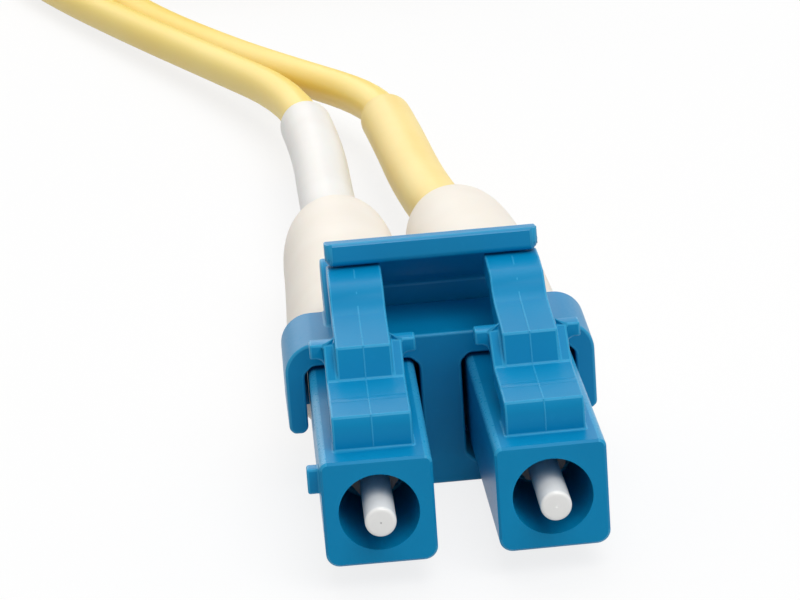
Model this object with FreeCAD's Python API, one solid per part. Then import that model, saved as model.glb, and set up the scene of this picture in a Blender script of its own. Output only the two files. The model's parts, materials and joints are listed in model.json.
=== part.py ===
import FreeCAD, Part

import math
import os

Vector = FreeCAD.Vector

# Everything is in millimetres. X runs to the right and Y to the rear, away from the plug fronts, Z is up.
# The origin is the middle of the near clip's underside. A station is a distance behind a plug's front face,
# and a plug's own axis is its Y axis.

# The pair of plugs in its clip
PLUG_PITCH = 6.55
SPLAY_DEG = 0.7
CLIP_STATION = 12.3

# Plug housing
HOUSING_WIDTH = 4.42
HOUSING_LENGTH = 14.2
HOUSING_TOP_RADIUS = 0.3
HOUSING_FOOT_RADIUS = 0.55
FRONT_CHAMFER = 0.1
CAVITY_RADIUS = 1.6
CAVITY_DEPTH = 5.4
PARTITION_THICKNESS = 0.8
CHAMBER_RADIUS = 1.6
SIDE_KEY_REACH = 0.5
SIDE_KEY_LENGTH = 0.6
SIDE_KEY_HEIGHT = 1.05
SIDE_KEY_STATION = 0.85
SIDE_KEY_LEVEL = 1.15

# Raised root block on the housing, where the latch begins
ROOT_FRONT = 1.2
ROOT_REAR = 3.0
ROOT_CHAMFER_HEIGHT = 0.45
ROOT_CHAMFER_RUN = 0.22
LATCH_WIDTH = 3.17
LATCH_TOP = 3.56
LATCH_RISE_DEG = 2.5

# Latch: a beam, two locking lugs and the arm that the trigger presses
HINGE_SLIT = 0.02
BEAM_THICKNESS = 0.85
RAMP_FOOT = 4.9
LUG_FRONT = 6.2
LUG_REAR = 6.95
LUG_TOP = 4.85
LUG_THICKNESS = 0.6
LUG_SPAN = 4.3
LUG_FILLET = 0.35
LUG_ROOT_DEPTH = 0.95
ARM_WIDTH = 2.25
ARM_STEP_TOP = 4.98
ARM_STEP_RUN = 0.45
ARM_FLAT_END = 8.55
ARM_FLAT_RISE_DEG = 6.5
ARM_BEND_TOP = 6.12
ARM_BEND_END = 9.4
ARM_TIP_TOP = 6.31
ARM_TIP_START = 10.6
ARM_TIP_END = 12.05
ARM_THICKNESS = 0.95

# Ferrule, its holder, the spring behind it and the tube that carries the fibre
FERRULE_RADIUS = 0.625
FERRULE_LENGTH = 6.4
FERRULE_REACH = 1.09
FERRULE_CHAMFER = 0.16
FERRULE_SEAT_RADIUS = 0.4
FERRULE_SEAT_START = 3.97
NOSE_RADIUS = 1.05
NOSE_FRONT = 4.0
NOSE_CLEARANCE = 0.05
FLANGE_RADIUS = 1.45
FLANGE_LENGTH = 1.0
FLANGE_GAP = 0.02
TAIL_RADIUS = 0.8
TAIL_LENGTH = 5.9
TAIL_BORE_RADIUS = 0.5
SPRING_WIRE = 0.28
SPRING_MEAN_RADIUS = 1.14
SPRING_TURNS = 4
SPRING_RUNS_PER_TURN = 8
SPRING_END_GAP = 0.03
BUFFER_RADIUS = 0.45
BUFFER_OVERLAP = 1.6

# Rear body, crimp sleeve, boot and marker sleeve
INSERT_LENGTH = 2.7
INSERT_CLEARANCE = 0.03
COLLAR_LENGTH = 1.0
COLLAR_RADIUS = 2.1
REAR_BORE_RADIUS = 1.0
STEM_RADIUS = 1.4
STEM_LENGTH = 5.5
STEM_RIDGE_RADIUS = 1.48
STEM_RIDGE_COUNT = 3
HIDDEN_SIDES = 10
CRIMP_WALL = 0.3
CRIMP_BORE_RADIUS = 1.5
CRIMP_START_GAP = 0.1
CRIMP_LENGTH = 8.9
CRIMP_NECK_LENGTH = 2.6
CRIMP_NECK_CLEARANCE = 0.16
BOOT_START_GAP = 0.15
BOOT_RADIUS = 3.0
BOOT_SHOULDER_RADIUS = 2.74
BOOT_END_RADIUS = 2.0
BOOT_SHOULDER = 13.0
BOOT_LENGTH = 18.6
BOOT_FRONT_ROUND = 0.35
BOOT_BEND = 3.0
BOOT_SIDES = 14
BOOT_CLEARANCE = 0.08
MARKER_RADIUS = 1.38
MARKER_BORE_RADIUS = 1.1

# Duplex clip
CLIP_LENGTH = 4.0
CLIP_WALL = 0.8
CLIP_ROOF = 0.99
CLIP_FOOT_THICKNESS = 0.93
CLIP_FOOT_HALF_WIDTH = 5.1
CLIP_OUTER_WALL_FOOT = -0.54
CLIP_CORNER_RADIUS = 1.3
CLIP_SMALL_RADIUS = 0.35
POCKET_CLEARANCE = 0.2

# Trigger over the latch arms
BAR_WIDTH = 8.86
BAR_FRONT = 10.95
BAR_BOTTOM = 6.41
BAR_TOP = 7.52
BAR_REAR = 12.2
BAR_REAR_DROP = 0.12
BAR_END_ROUND = 0.3
PLATE_WIDTH = 7.3
PLATE_KNEE_STATION = 13.7
PLATE_KNEE_TOP = 6.75
PLATE_THICKNESS = 0.85
TRIGGER_PIN_RADIUS = 0.5
TRIGGER_PIN_STATION = 15.1
TRIGGER_PIN_HEIGHT = 4.45
PIN_CLEARANCE = 0.04
EAR_WIDTH = 0.8
EAR_RADIUS = 0.95
EAR_SIDE_GAP = 0.1

# Cord: two round jackets side by side, which make one flat cord
JACKET_RADIUS = 1.025
CORD_SIDES = 8
JACKET_GAP = 0.15
JACKET_END_GAP = 0.02

# Hank of the flat cord, wound on edge in two layers and drawn in at its waist, where its tie is
HANK_MIDDLE_X = -3.5
HANK_NEAR_Y = 99.6
HANK_FAR_Y = 131.8
HANK_INNER_REACH = 9.75
HANK_STEP = 2.7
HANK_WAIST_DRAW = 3.2
HANK_LAYER_STEP = 4.55
HANK_LANES = 6
TIE_THICKNESS = 0.5
TIE_CLEARANCE = 0.12
TIE_SIDE_CLEARANCE = 0.5
TIE_LENGTH = 6.0

# Middle of the far clip's underside, which lies on the hank
FAR_PLACE = (6.6, 96.0, 9.41)

# Degrees that each boot's rear leans to the left of the plug's axis, as the cord pulls it
BOOT_LEANS_DEG = {"near_left": 0.7, "near_right": 3.4, "far_left": 0.8, "far_right": 1.8}

# Routes of the jackets from the rear of each plug to the hank, in the whole object's frame
NEAR_LEFT_ROUTE = [
    (-3.105, 13.9, 3.34),
    (-3.09, 21.0, 3.34),
    (-3.26, 27.8, 3.33),
    (-3.2, 35.4, 3.3),
    (-3.95, 47.6, 2.8),
    (-7.95, 58.9, 1.9),
    (-12.4, 68.9, 1.6),
    (-17.1, 79.9, 1.35),
    (-19.4, 85.8, 1.45),
    (-20.0, 91.8, 1.57),
]
NEAR_RIGHT_ROUTE = [
    (3.105, 13.9, 3.34),
    (2.65, 20.9, 3.34),
    (1.5, 28.4, 3.33),
    (0.98, 37.2, 3.3),
    (0.42, 45.2, 3.0),
    (-3.75, 54.4, 2.2),
    (-7.4, 64.2, 1.15),
    (-11.8, 73.2, 1.06),
    (-14.9, 81.0, 1.35),
    (-17.7, 85.6, 3.45),
    (-20.0, 91.6, 3.77),
]
FAR_LEFT_ROUTE = [
    (3.491, 109.9, 12.75),
    (3.565, 117.2, 12.75),
    (3.48, 125.4, 12.75),
    (3.6, 132.0, 12.75),
    (3.5, 140.1, 12.7),
    (0.35, 145.6, 12.3),
    (-5.1, 148.8, 11.5),
    (-11.4, 148.7, 10.5),
    (-16.85, 145.6, 9.45),
    (-20.0, 140.15, 8.32),
]
FAR_RIGHT_ROUTE = [
    (9.697, 109.9, 12.75),
    (9.468, 117.3, 12.75),
    (8.99, 125.3, 12.75),
    (8.9, 132.2, 12.75),
    (9.0, 140.2, 12.5),
    (5.0, 147.1, 11.5),
    (-1.8, 151.0, 10.2),
    (-9.4, 151.1, 8.8),
    (-16.1, 147.2, 7.3),
    (-20.0, 140.2, 6.12),
]

Z_AXIS = Vector(0, 0, 1)
AXIS_HEIGHT = HOUSING_WIDTH / 2 + POCKET_CLEARANCE + CLIP_FOOT_THICKNESS
PARTITION_REAR = CAVITY_DEPTH + PARTITION_THICKNESS
FLANGE_FRONT = PARTITION_REAR + FLANGE_GAP
FLANGE_REAR = FLANGE_FRONT + FLANGE_LENGTH
STEM_START = HOUSING_LENGTH + COLLAR_LENGTH
STEM_END = STEM_START + STEM_LENGTH
CRIMP_START = STEM_START + CRIMP_START_GAP
BOOT_START = STEM_START + BOOT_START_GAP
BOOT_END = BOOT_START + BOOT_LENGTH
CRIMP_END = CRIMP_START + CRIMP_LENGTH


def block(x0, x1, y0, y1, z0, z1):
    """Box between two corners."""
    return Part.makeBox(x1 - x0, y1 - y0, z1 - z0, Vector(x0, y0, z0))


def rod(radius, start, end):
    """Cylinder along Y between two stations."""
    return Part.makeCylinder(radius, end - start, Vector(0, start, 0), Vector(0, 1, 0))


def turned(outline):
    """Solid of revolution about the Y axis from (radius, station) points."""
    points = [Vector(radius, station, 0) for radius, station in outline]
    face = Part.Face(Part.makePolygon(points + points[:1]))
    return face.revolve(Vector(0, 0, 0), Vector(0, 1, 0), 360)


def flat_sided(outline, sides, place=None):
    """Solid like a turned one but with flat sides; each ring's points may be moved by a function."""
    rings = []
    for radius, station in outline:
        angles = [2 * math.pi * (index + 0.5) / sides for index in range(sides)]
        ring = [Vector(radius * math.cos(a), station, radius * math.sin(a)) for a in angles]
        if place:
            ring = [place(point) for point in ring]
        rings.append(ring + ring[:1])
    faces = []
    for ring, following in zip(rings, rings[1:] + rings[:1]):
        for index in range(sides):
            first = [ring[index], ring[index + 1], following[index + 1]]
            second = [ring[index], following[index + 1], following[index]]
            panels = [first, second] if place else [first + second[2:]]
            faces += [Part.Face(Part.makePolygon(panel + panel[:1])) for panel in panels]
    solid = Part.Solid(Part.Shell(faces))
    if solid.Volume < 0:
        solid.reverse()
    return solid


def slab(outline, width):
    """Side view of (station, height) points, extruded to a width that is centred on X."""
    points = [Vector(-width / 2, station, height) for station, height in outline]
    face = Part.Face(Part.makePolygon(points + points[:1]))
    return face.extrude(Vector(width, 0, 0))


def edges_along(shape, axis, chosen):
    """Straight edges of a shape that run along X (0), Y (1) or Z (2) and whose middle passes a test."""
    found = []
    for edge in shape.Edges:
        ends = [vertex.Point for vertex in edge.Vertexes]
        if len(ends) < 2 or not isinstance(edge.Curve, Part.Line):
            continue
        along = (ends[1] - ends[0]).normalize()
        if abs(abs(along[axis]) - 1) < 1e-6 and chosen((ends[0] + ends[1]) * 0.5):
            found.append(edge)
    return found


def rise(angle_deg, run):
    """Height gained over a run at an angle."""
    return run * math.tan(math.radians(angle_deg))


def beam_top(station):
    """Height of the root block's and beam's top at a station."""
    return LATCH_TOP + rise(LATCH_RISE_DEG, station - ROOT_FRONT)


def plug_housing(side_key):
    """Square housing with the ferrule cavity, the spring chamber and the latch's root block."""
    half = HOUSING_WIDTH / 2
    body = block(-half, half, 0, HOUSING_LENGTH, -half, half)
    body = body.makeFillet(HOUSING_FOOT_RADIUS, edges_along(body, 1, lambda p: p.z < 0))
    body = body.makeFillet(HOUSING_TOP_RADIUS, edges_along(body, 1, lambda p: p.z > 0))
    front = [e for e in body.Edges if all(abs(v.Point.y) < 1e-6 for v in e.Vertexes)]
    body = body.makeChamfer(FRONT_CHAMFER, front)
    root = slab(
        [
            (ROOT_FRONT, 0.6 * half),
            (ROOT_FRONT, LATCH_TOP - ROOT_CHAMFER_HEIGHT),
            (ROOT_FRONT + ROOT_CHAMFER_RUN, LATCH_TOP),
            (ROOT_REAR, beam_top(ROOT_REAR)),
            (ROOT_REAR, 0.6 * half),
        ],
        LATCH_WIDTH,
    )
    body = body.fuse(root)
    if side_key:
        key = block(
            -half - SIDE_KEY_REACH,
            -half + HOUSING_FOOT_RADIUS,
            SIDE_KEY_STATION,
            SIDE_KEY_STATION + SIDE_KEY_LENGTH,
            SIDE_KEY_LEVEL - SIDE_KEY_HEIGHT / 2,
            SIDE_KEY_LEVEL + SIDE_KEY_HEIGHT / 2,
        )
        body = body.fuse(key)
    chamber = flat_sided(
        [
            (0.01, CAVITY_DEPTH),
            (NOSE_RADIUS + NOSE_CLEARANCE, CAVITY_DEPTH),
            (NOSE_RADIUS + NOSE_CLEARANCE, PARTITION_REAR),
            (CHAMBER_RADIUS, PARTITION_REAR),
            (CHAMBER_RADIUS, HOUSING_LENGTH + 1),
            (0.01, HOUSING_LENGTH + 1),
        ],
        HIDDEN_SIDES,
    )
    cavity = rod(CAVITY_RADIUS, -1, CAVITY_DEPTH)
    middle = rod(0.02, CAVITY_DEPTH - 1, HOUSING_LENGTH + 1)
    return body.cut([cavity, chamber, middle]).removeSplitter()


def lug_plate():
    """The two locking lugs in one plate across the beam, with a concave fillet under each."""
    half = LATCH_WIDTH / 2
    reach = LUG_SPAN / 2
    under = LUG_TOP - LUG_THICKNESS
    low = under - LUG_FILLET
    turn = LUG_FILLET * (1 - math.sqrt(0.5))

    def at(x, z):
        return Vector(x, LUG_FRONT, z)

    edges = [Part.LineSegment(at(-half, low), at(half, low)).toShape()]
    right_fillet = Part.Arc(at(half, low), at(half + turn, under - turn), at(half + LUG_FILLET, under))
    edges.append(right_fillet.toShape())
    rim = [
        at(half + LUG_FILLET, under),
        at(reach, under),
        at(reach, LUG_TOP),
        at(-reach, LUG_TOP),
        at(-reach, under),
        at(-half - LUG_FILLET, under),
    ]
    edges += [Part.LineSegment(a, b).toShape() for a, b in zip(rim, rim[1:])]
    left_fillet = Part.Arc(at(-half - LUG_FILLET, under), at(-half - turn, under - turn), at(-half, low))
    edges.append(left_fillet.toShape())
    return Part.Face(Part.Wire(edges)).extrude(Vector(0, LUG_REAR - LUG_FRONT, 0))


def latch():
    """Beam from the hinge slit to the lugs, and the narrower arm that rises under the trigger's bar."""
    start = ROOT_REAR + HINGE_SLIT
    lug_low = LUG_TOP - LUG_ROOT_DEPTH
    beam = slab(
        [
            (start, beam_top(start) - BEAM_THICKNESS),
            (start, beam_top(start)),
            (RAMP_FOOT, beam_top(RAMP_FOOT)),
            (LUG_FRONT, LUG_TOP),
            (LUG_REAR, LUG_TOP),
            (LUG_REAR, lug_low),
            (LUG_FRONT, lug_low),
            (RAMP_FOOT + BEAM_THICKNESS / 3, beam_top(RAMP_FOOT) - BEAM_THICKNESS),
        ],
        LATCH_WIDTH,
    )
    flat_start = RAMP_FOOT + ARM_STEP_RUN
    flat_end_top = ARM_STEP_TOP + rise(ARM_FLAT_RISE_DEG, ARM_FLAT_END - flat_start)
    arm = slab(
        [
            (RAMP_FOOT, beam_top(RAMP_FOOT)),
            (flat_start, ARM_STEP_TOP),
            (ARM_FLAT_END, flat_end_top),
            (ARM_BEND_END, ARM_BEND_TOP),
            (ARM_TIP_START, ARM_TIP_TOP),
            (ARM_TIP_END, ARM_TIP_TOP),
            (ARM_TIP_END, ARM_TIP_TOP - ARM_THICKNESS),
            (ARM_BEND_END + ARM_THICKNESS / 2, ARM_BEND_TOP - ARM_THICKNESS),
            (ARM_FLAT_END + ARM_THICKNESS / 2, flat_end_top - ARM_THICKNESS),
            (LUG_REAR, lug_low),
            (LUG_FRONT, lug_low),
            (RAMP_FOOT + BEAM_THICKNESS / 3, beam_top(RAMP_FOOT) - BEAM_THICKNESS / 2),
        ],
        ARM_WIDTH,
    )
    tip = edges_along(arm, 0, lambda p: p.y > ARM_TIP_END - 1e-6)
    arm = arm.makeFillet(ARM_THICKNESS * 0.45, tip)
    return beam.fuse([arm, lug_plate()]).removeSplitter()


def ferrule():
    """Ceramic ferrule with its chamfered tip; its slimmer rear end is pressed into the holder."""
    tip = -FERRULE_REACH
    return turned(
        [
            (0, tip),
            (FERRULE_RADIUS - FERRULE_CHAMFER, tip),
            (FERRULE_RADIUS, tip + FERRULE_CHAMFER),
            (FERRULE_RADIUS, FERRULE_SEAT_START),
            (FERRULE_SEAT_RADIUS, FERRULE_SEAT_START),
            (FERRULE_SEAT_RADIUS, tip + FERRULE_LENGTH),
            (0, tip + FERRULE_LENGTH),
        ]
    )


def ferrule_holder():
    """Flanged holder: the nose round the ferrule, the flange that stops on the partition, and the tail."""
    grip = FERRULE_SEAT_RADIUS / math.cos(math.pi / HIDDEN_SIDES)
    seat = FERRULE_LENGTH - FERRULE_REACH
    tail_end = FLANGE_REAR + TAIL_LENGTH
    return flat_sided(
        [
            (grip, NOSE_FRONT),
            (NOSE_RADIUS, NOSE_FRONT),
            (NOSE_RADIUS, FLANGE_FRONT),
            (FLANGE_RADIUS, FLANGE_FRONT),
            (FLANGE_RADIUS, FLANGE_REAR),
            (TAIL_RADIUS, FLANGE_REAR),
            (TAIL_RADIUS, tail_end),
            (TAIL_BORE_RADIUS, tail_end),
            (TAIL_BORE_RADIUS, seat),
            (grip, seat),
        ],
        HIDDEN_SIDES,
    )


def biarc(start, start_tangent, end, end_tangent):
    """Two arcs that leave one point and reach another along the given unit tangents."""
    span = end - start
    both = start_tangent + end_tangent
    spread = 2 * (1 - start_tangent.dot(end_tangent))
    reach = span.dot(both)
    if spread < 1e-9:
        step = span.dot(span) / (2 * reach)
    else:
        step = (math.sqrt(reach * reach + spread * span.dot(span)) - reach) / spread
    middle = (start + end + (start_tangent - end_tangent) * step) * 0.5
    first = tangent_arc(start, start_tangent, middle)
    second = tangent_arc(end, end_tangent * -1, middle)
    return [first, second]


def tangent_arc(start, tangent, end):
    """Arc from a point along a tangent to another point, as an edge."""
    chord = end - start
    along = Vector(chord).normalize()
    across = tangent - along * tangent.dot(along)
    if across.Length < 1e-7:
        return Part.LineSegment(start, end).toShape()
    angle = math.atan2(across.Length, tangent.dot(along))
    across.normalize()
    middle = (start + end) * 0.5 + across * (chord.Length / 2 * math.tan(angle / 2))
    return Part.Arc(start, middle, end).toShape()


def spring():
    """Coil spring round the holder's tail, between the flange and the rear body."""
    low = FLANGE_REAR + SPRING_WIRE / 2 + SPRING_END_GAP
    high = HOUSING_LENGTH - INSERT_LENGTH - SPRING_WIRE / 2 - SPRING_END_GAP
    points = []
    for index in range(SPRING_TURNS * SPRING_RUNS_PER_TURN + 1):
        angle = 2 * math.pi * index / SPRING_RUNS_PER_TURN
        y = low + (high - low) * index / (SPRING_TURNS * SPRING_RUNS_PER_TURN)
        x = SPRING_MEAN_RADIUS * math.cos(angle)
        z = SPRING_MEAN_RADIUS * math.sin(angle)
        points.append(Vector(x, y, z))
    along = (points[1] - points[0]).normalize()
    across = along.cross(Vector(0, 1, 0)).normalize()
    up = across.cross(along)
    half = SPRING_WIRE / 2
    ways = ((1, 1), (-1, 1), (-1, -1), (1, -1))
    corners = [points[0] + across * (half * a) + up * (half * b) for a, b in ways]
    section = Part.makePolygon(corners + corners[:1])
    return Part.Wire(Part.makePolygon(points)).makePipeShell([section], True, False, 1)


def rear_body():
    """Rear body: the insert in the housing, the collar behind it and the ridged crimping stem."""
    insert = CHAMBER_RADIUS - INSERT_CLEARANCE
    insert_start = HOUSING_LENGTH - INSERT_LENGTH
    outline = [
        (REAR_BORE_RADIUS, insert_start),
        (insert, insert_start),
        (insert, HOUSING_LENGTH),
        (COLLAR_RADIUS, HOUSING_LENGTH),
        (COLLAR_RADIUS, STEM_START),
        (STEM_RADIUS, STEM_START),
    ]
    pitch = STEM_LENGTH / (STEM_RIDGE_COUNT + 1)
    for index in range(STEM_RIDGE_COUNT):
        crest = STEM_START + pitch * (index + 1)
        outline.append((STEM_RADIUS, crest - pitch / 4))
        outline.append((STEM_RIDGE_RADIUS, crest))
        outline.append((STEM_RADIUS, crest + pitch / 4))
    outline += [(STEM_RADIUS, STEM_END), (REAR_BORE_RADIUS, STEM_END)]
    return flat_sided(outline, HIDDEN_SIDES)


def crimp_sleeve():
    """Metal sleeve crimped over the stem, necked down on the jacket."""
    end = CRIMP_END
    neck = end - CRIMP_NECK_LENGTH
    neck_bore = JACKET_RADIUS + CRIMP_NECK_CLEARANCE
    outer = CRIMP_BORE_RADIUS + CRIMP_WALL
    return flat_sided(
        [
            (CRIMP_BORE_RADIUS, CRIMP_START),
            (outer, CRIMP_START),
            (outer, neck - CRIMP_WALL),
            (neck_bore + CRIMP_WALL, neck + CRIMP_WALL),
            (neck_bore + CRIMP_WALL, end),
            (neck_bore, end),
            (neck_bore, neck + CRIMP_WALL),
            (CRIMP_BORE_RADIUS, neck - CRIMP_WALL),
        ],
        HIDDEN_SIDES,
    )


def leaning(point, lean_deg):
    """Place of a boot's point once its rear leans to the left, past the end of the crimp sleeve."""
    past = point.y - CRIMP_END
    if past <= 0:
        return point
    radius = BOOT_BEND / math.radians(lean_deg)
    angle = math.radians(lean_deg) * min(past / BOOT_BEND, 1)
    beyond = max(past - BOOT_BEND, 0)
    x = (radius + point.x) * math.cos(angle) - radius - beyond * math.sin(angle)
    y = CRIMP_END + (radius + point.x) * math.sin(angle) + beyond * math.cos(angle)
    return Vector(x, y, point.z)


def boot(lean_deg):
    """Bell-shaped rubber boot over the crimp sleeve, whose rear leans a little to the left."""
    shoulder = BOOT_START + BOOT_SHOULDER
    slope = (BOOT_RADIUS - BOOT_SHOULDER_RADIUS) / BOOT_SHOULDER
    dome = BOOT_END - shoulder
    drop = BOOT_SHOULDER_RADIUS - BOOT_END_RADIUS
    crimp_outer = CRIMP_BORE_RADIUS + CRIMP_WALL + BOOT_CLEARANCE
    outline = [(crimp_outer, BOOT_START), (BOOT_RADIUS - BOOT_FRONT_ROUND, BOOT_START)]
    outline.append((BOOT_RADIUS, BOOT_START + BOOT_FRONT_ROUND))
    for station in (CRIMP_END, CRIMP_END + BOOT_BEND / 2, CRIMP_END + BOOT_BEND):
        outline.append((BOOT_RADIUS - slope * (station - BOOT_START), station))
    for run, fall in ((0, 0), (0.35, 0.08), (0.66, 0.28), (0.9, 0.6), (1, 1)):
        outline.append((BOOT_SHOULDER_RADIUS - fall * drop, shoulder + run * dome))
    outline += [(0.01, BOOT_END), (0.01, CRIMP_END), (crimp_outer, CRIMP_END)]
    return flat_sided(outline, BOOT_SIDES, lambda point: leaning(point, lean_deg))


def buffer_tube():
    """Fibre's buffer tube, from inside the holder's tail to the jacket."""
    start = FLANGE_REAR + TAIL_LENGTH - BUFFER_OVERLAP
    outline = [(0, start), (BUFFER_RADIUS, start), (BUFFER_RADIUS, STEM_END), (0, STEM_END)]
    return turned(outline)


def pocket_half():
    """Half the width and height of the clip's pocket for a housing."""
    return HOUSING_WIDTH / 2 + POCKET_CLEARANCE


def duplex_clip():
    """Clip round both housings: a roof, two outer walls, a web and a foot, with the trigger's ears behind."""
    pocket = pocket_half()
    outer = PLUG_PITCH / 2 + pocket + CLIP_WALL
    top = pocket + CLIP_ROOF
    start = CLIP_STATION - CLIP_LENGTH / 2
    end = start + CLIP_LENGTH
    roof = block(-outer, outer, start, end, CLIP_OUTER_WALL_FOOT, top)
    roof = roof.makeFillet(CLIP_CORNER_RADIUS, edges_along(roof, 1, lambda p: p.z > 0))
    web = block(-PLUG_PITCH / 2, PLUG_PITCH / 2, start, end, -pocket, 0)
    foot = block(-CLIP_FOOT_HALF_WIDTH, CLIP_FOOT_HALF_WIDTH, start, end, -AXIS_HEIGHT, -pocket)
    body = roof.fuse([web, foot]).removeSplitter()
    for side in (-1, 1):
        x = side * PLUG_PITCH / 2
        hole = block(x - pocket, x + pocket, start - 1, end + 1, -pocket, pocket)
        hole = hole.makeChamfer(CLIP_SMALL_RADIUS, edges_along(hole, 1, lambda p: True))
        body = body.cut(hole)
    loose = edges_along(
        body,
        1,
        lambda p: abs(p.z - CLIP_OUTER_WALL_FOOT) < 1e-6 or abs(abs(p.x) - CLIP_FOOT_HALF_WIDTH) < 1e-6,
    )
    body = body.makeChamfer(CLIP_SMALL_RADIUS, loose)
    for side in (-1, 1):
        body = body.fuse(trigger_ear(side, top, end))
    return body.removeSplitter()


def trigger_ear(side, top, clip_end):
    """Ear on the clip's roof that holds one end of the trigger's pin."""
    inner = PLATE_WIDTH / 2 + EAR_SIDE_GAP
    middle = side * (inner + EAR_WIDTH / 2)
    ear = slab(
        [
            (clip_end - CLIP_LENGTH / 2, top),
            (TRIGGER_PIN_STATION - EAR_RADIUS * 0.7, TRIGGER_PIN_HEIGHT + EAR_RADIUS * 0.8),
            (TRIGGER_PIN_STATION - EAR_RADIUS * 0.3, TRIGGER_PIN_HEIGHT + EAR_RADIUS),
            (TRIGGER_PIN_STATION + EAR_RADIUS * 0.3, TRIGGER_PIN_HEIGHT + EAR_RADIUS),
            (TRIGGER_PIN_STATION + EAR_RADIUS * 0.9, TRIGGER_PIN_HEIGHT + EAR_RADIUS * 0.5),
            (TRIGGER_PIN_STATION + EAR_RADIUS * 0.9, TRIGGER_PIN_HEIGHT - EAR_RADIUS * 0.4),
            (TRIGGER_PIN_STATION + EAR_RADIUS * 0.4, TRIGGER_PIN_HEIGHT - EAR_RADIUS),
            (clip_end, top - CLIP_ROOF / 2),
            (clip_end - CLIP_LENGTH / 2, top - CLIP_ROOF / 2),
        ],
        EAR_WIDTH,
    )
    ear.translate(Vector(middle, 0, 0))
    start = Vector(middle - EAR_WIDTH, TRIGGER_PIN_STATION, TRIGGER_PIN_HEIGHT)
    hole = Part.makeCylinder(TRIGGER_PIN_RADIUS + PIN_CLEARANCE, 2 * EAR_WIDTH, start, Vector(1, 0, 0))
    return ear.cut(hole)


def trigger():
    """Trigger: the front bar over both latch arms, the kneed plate behind it and the hinge pin."""
    knee_under = PLATE_KNEE_TOP - PLATE_THICKNESS
    pin = (TRIGGER_PIN_STATION, TRIGGER_PIN_HEIGHT)
    bar = slab(
        [
            (BAR_FRONT, BAR_BOTTOM),
            (BAR_FRONT, BAR_TOP),
            (BAR_REAR, BAR_TOP - BAR_REAR_DROP),
            (BAR_REAR, BAR_BOTTOM),
        ],
        BAR_WIDTH,
    )
    ends = edges_along(bar, 1, lambda p: p.z > 0) + edges_along(bar, 2, lambda p: p.y < BAR_REAR - 0.1)
    bar = bar.makeFillet(BAR_END_ROUND, [e for e in ends if isinstance(e.Curve, Part.Line)])
    plate = slab(
        [
            (BAR_REAR - 0.4, BAR_BOTTOM),
            (BAR_REAR - 0.4, BAR_TOP - BAR_REAR_DROP - 0.05),
            (BAR_REAR, BAR_TOP - BAR_REAR_DROP - 0.05),
            (PLATE_KNEE_STATION, PLATE_KNEE_TOP),
            (pin[0] + TRIGGER_PIN_RADIUS * 0.8, pin[1] + TRIGGER_PIN_RADIUS * 0.5),
            pin,
            (pin[0] - TRIGGER_PIN_RADIUS * 0.9, pin[1] - TRIGGER_PIN_RADIUS * 0.3),
            (PLATE_KNEE_STATION - PLATE_THICKNESS / 2, knee_under),
            (BAR_REAR, BAR_BOTTOM),
        ],
        PLATE_WIDTH,
    )
    length = PLATE_WIDTH + 2 * (EAR_SIDE_GAP + EAR_WIDTH)
    start = Vector(-length / 2, pin[0], pin[1])
    axle = Part.makeCylinder(TRIGGER_PIN_RADIUS, length, start, Vector(1, 0, 0))
    return bar.fuse([plate, axle]).removeSplitter()


def on_plug(shape, side):
    """Shape in a plug's own frame, set into the pair's frame on one side of the clip."""
    placed = shape.copy()
    placed.rotate(Vector(0, CLIP_STATION, 0), Z_AXIS, side * SPLAY_DEG)
    placed.translate(Vector(side * PLUG_PITCH / 2, 0, 0))
    return placed


def at_end(shape, far):
    """Shape in the pair's frame, set where the near or the far connector lies."""
    placed = shape.copy()
    placed.translate(Vector(0, -CLIP_STATION, AXIS_HEIGHT))
    if far:
        placed.translate(Vector(*FAR_PLACE))
    return placed


def axis_point(station, side, far):
    """Point on a plug's axis in the whole object's frame."""
    return at_end(on_plug(Part.Vertex(0, station, 0), side), far).Vertexes[0].Point


def route_corners(points):
    """Arc of each corner of a route: where it starts, its middle and end, and its radius."""
    corners = []
    for before, corner, after in zip(points, points[1:], points[2:]):
        back = before - corner
        ahead = after - corner
        shorter = min(back.Length, ahead.Length)
        back.normalize()
        ahead.normalize()
        turn = math.pi - back.getAngle(ahead)
        radius = 0.45 * shorter / math.tan(turn / 2)
        inward = (back + ahead).normalize()
        middle = corner + inward * (radius / math.cos(turn / 2) - radius)
        reach = 0.45 * shorter
        corners.append((corner + back * reach, middle, corner + ahead * reach, radius, turn))
    return corners


def tube(face, points, corners, start, end):
    """Solid swept from a face at the start point, along straight runs and tangent arcs, to the end point."""
    pieces = []
    place = start
    stops = [c[0] for c in corners] + [end]
    for index, stop in enumerate(stops):
        step = stop - place
        pieces.append(face.extrude(step))
        face = face.copy()
        face.translate(step)
        place = stop
        if index < len(corners):
            entry, middle, leave, radius, turn = corners[index]
            into = (points[index + 1] - points[index]).normalize()
            out = (points[index + 2] - points[index + 1]).normalize()
            axis = into.cross(out).normalize()
            centre = entry + axis.cross(into) * radius
            pieces.append(face.revolve(centre, axis, math.degrees(turn)))
            face = face.copy()
            face.rotate(centre, axis, math.degrees(turn))
            place = leave
    return pieces[0].fuse(pieces[1:])


def cord_face(centre, along, radius):
    """Round section with flat sides, square to a direction, with one side down."""
    level = along.cross(Z_AXIS).normalize()
    up = level.cross(along)
    corner_radius = radius / math.cos(math.pi / CORD_SIDES)
    corners = []
    for index in range(CORD_SIDES):
        angle = 2 * math.pi * (index + 0.5) / CORD_SIDES
        x = corner_radius * math.cos(angle)
        z = corner_radius * math.sin(angle)
        corners.append(centre + level * x + up * z)
    return Part.Face(Part.makePolygon(corners + corners[:1]))


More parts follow.
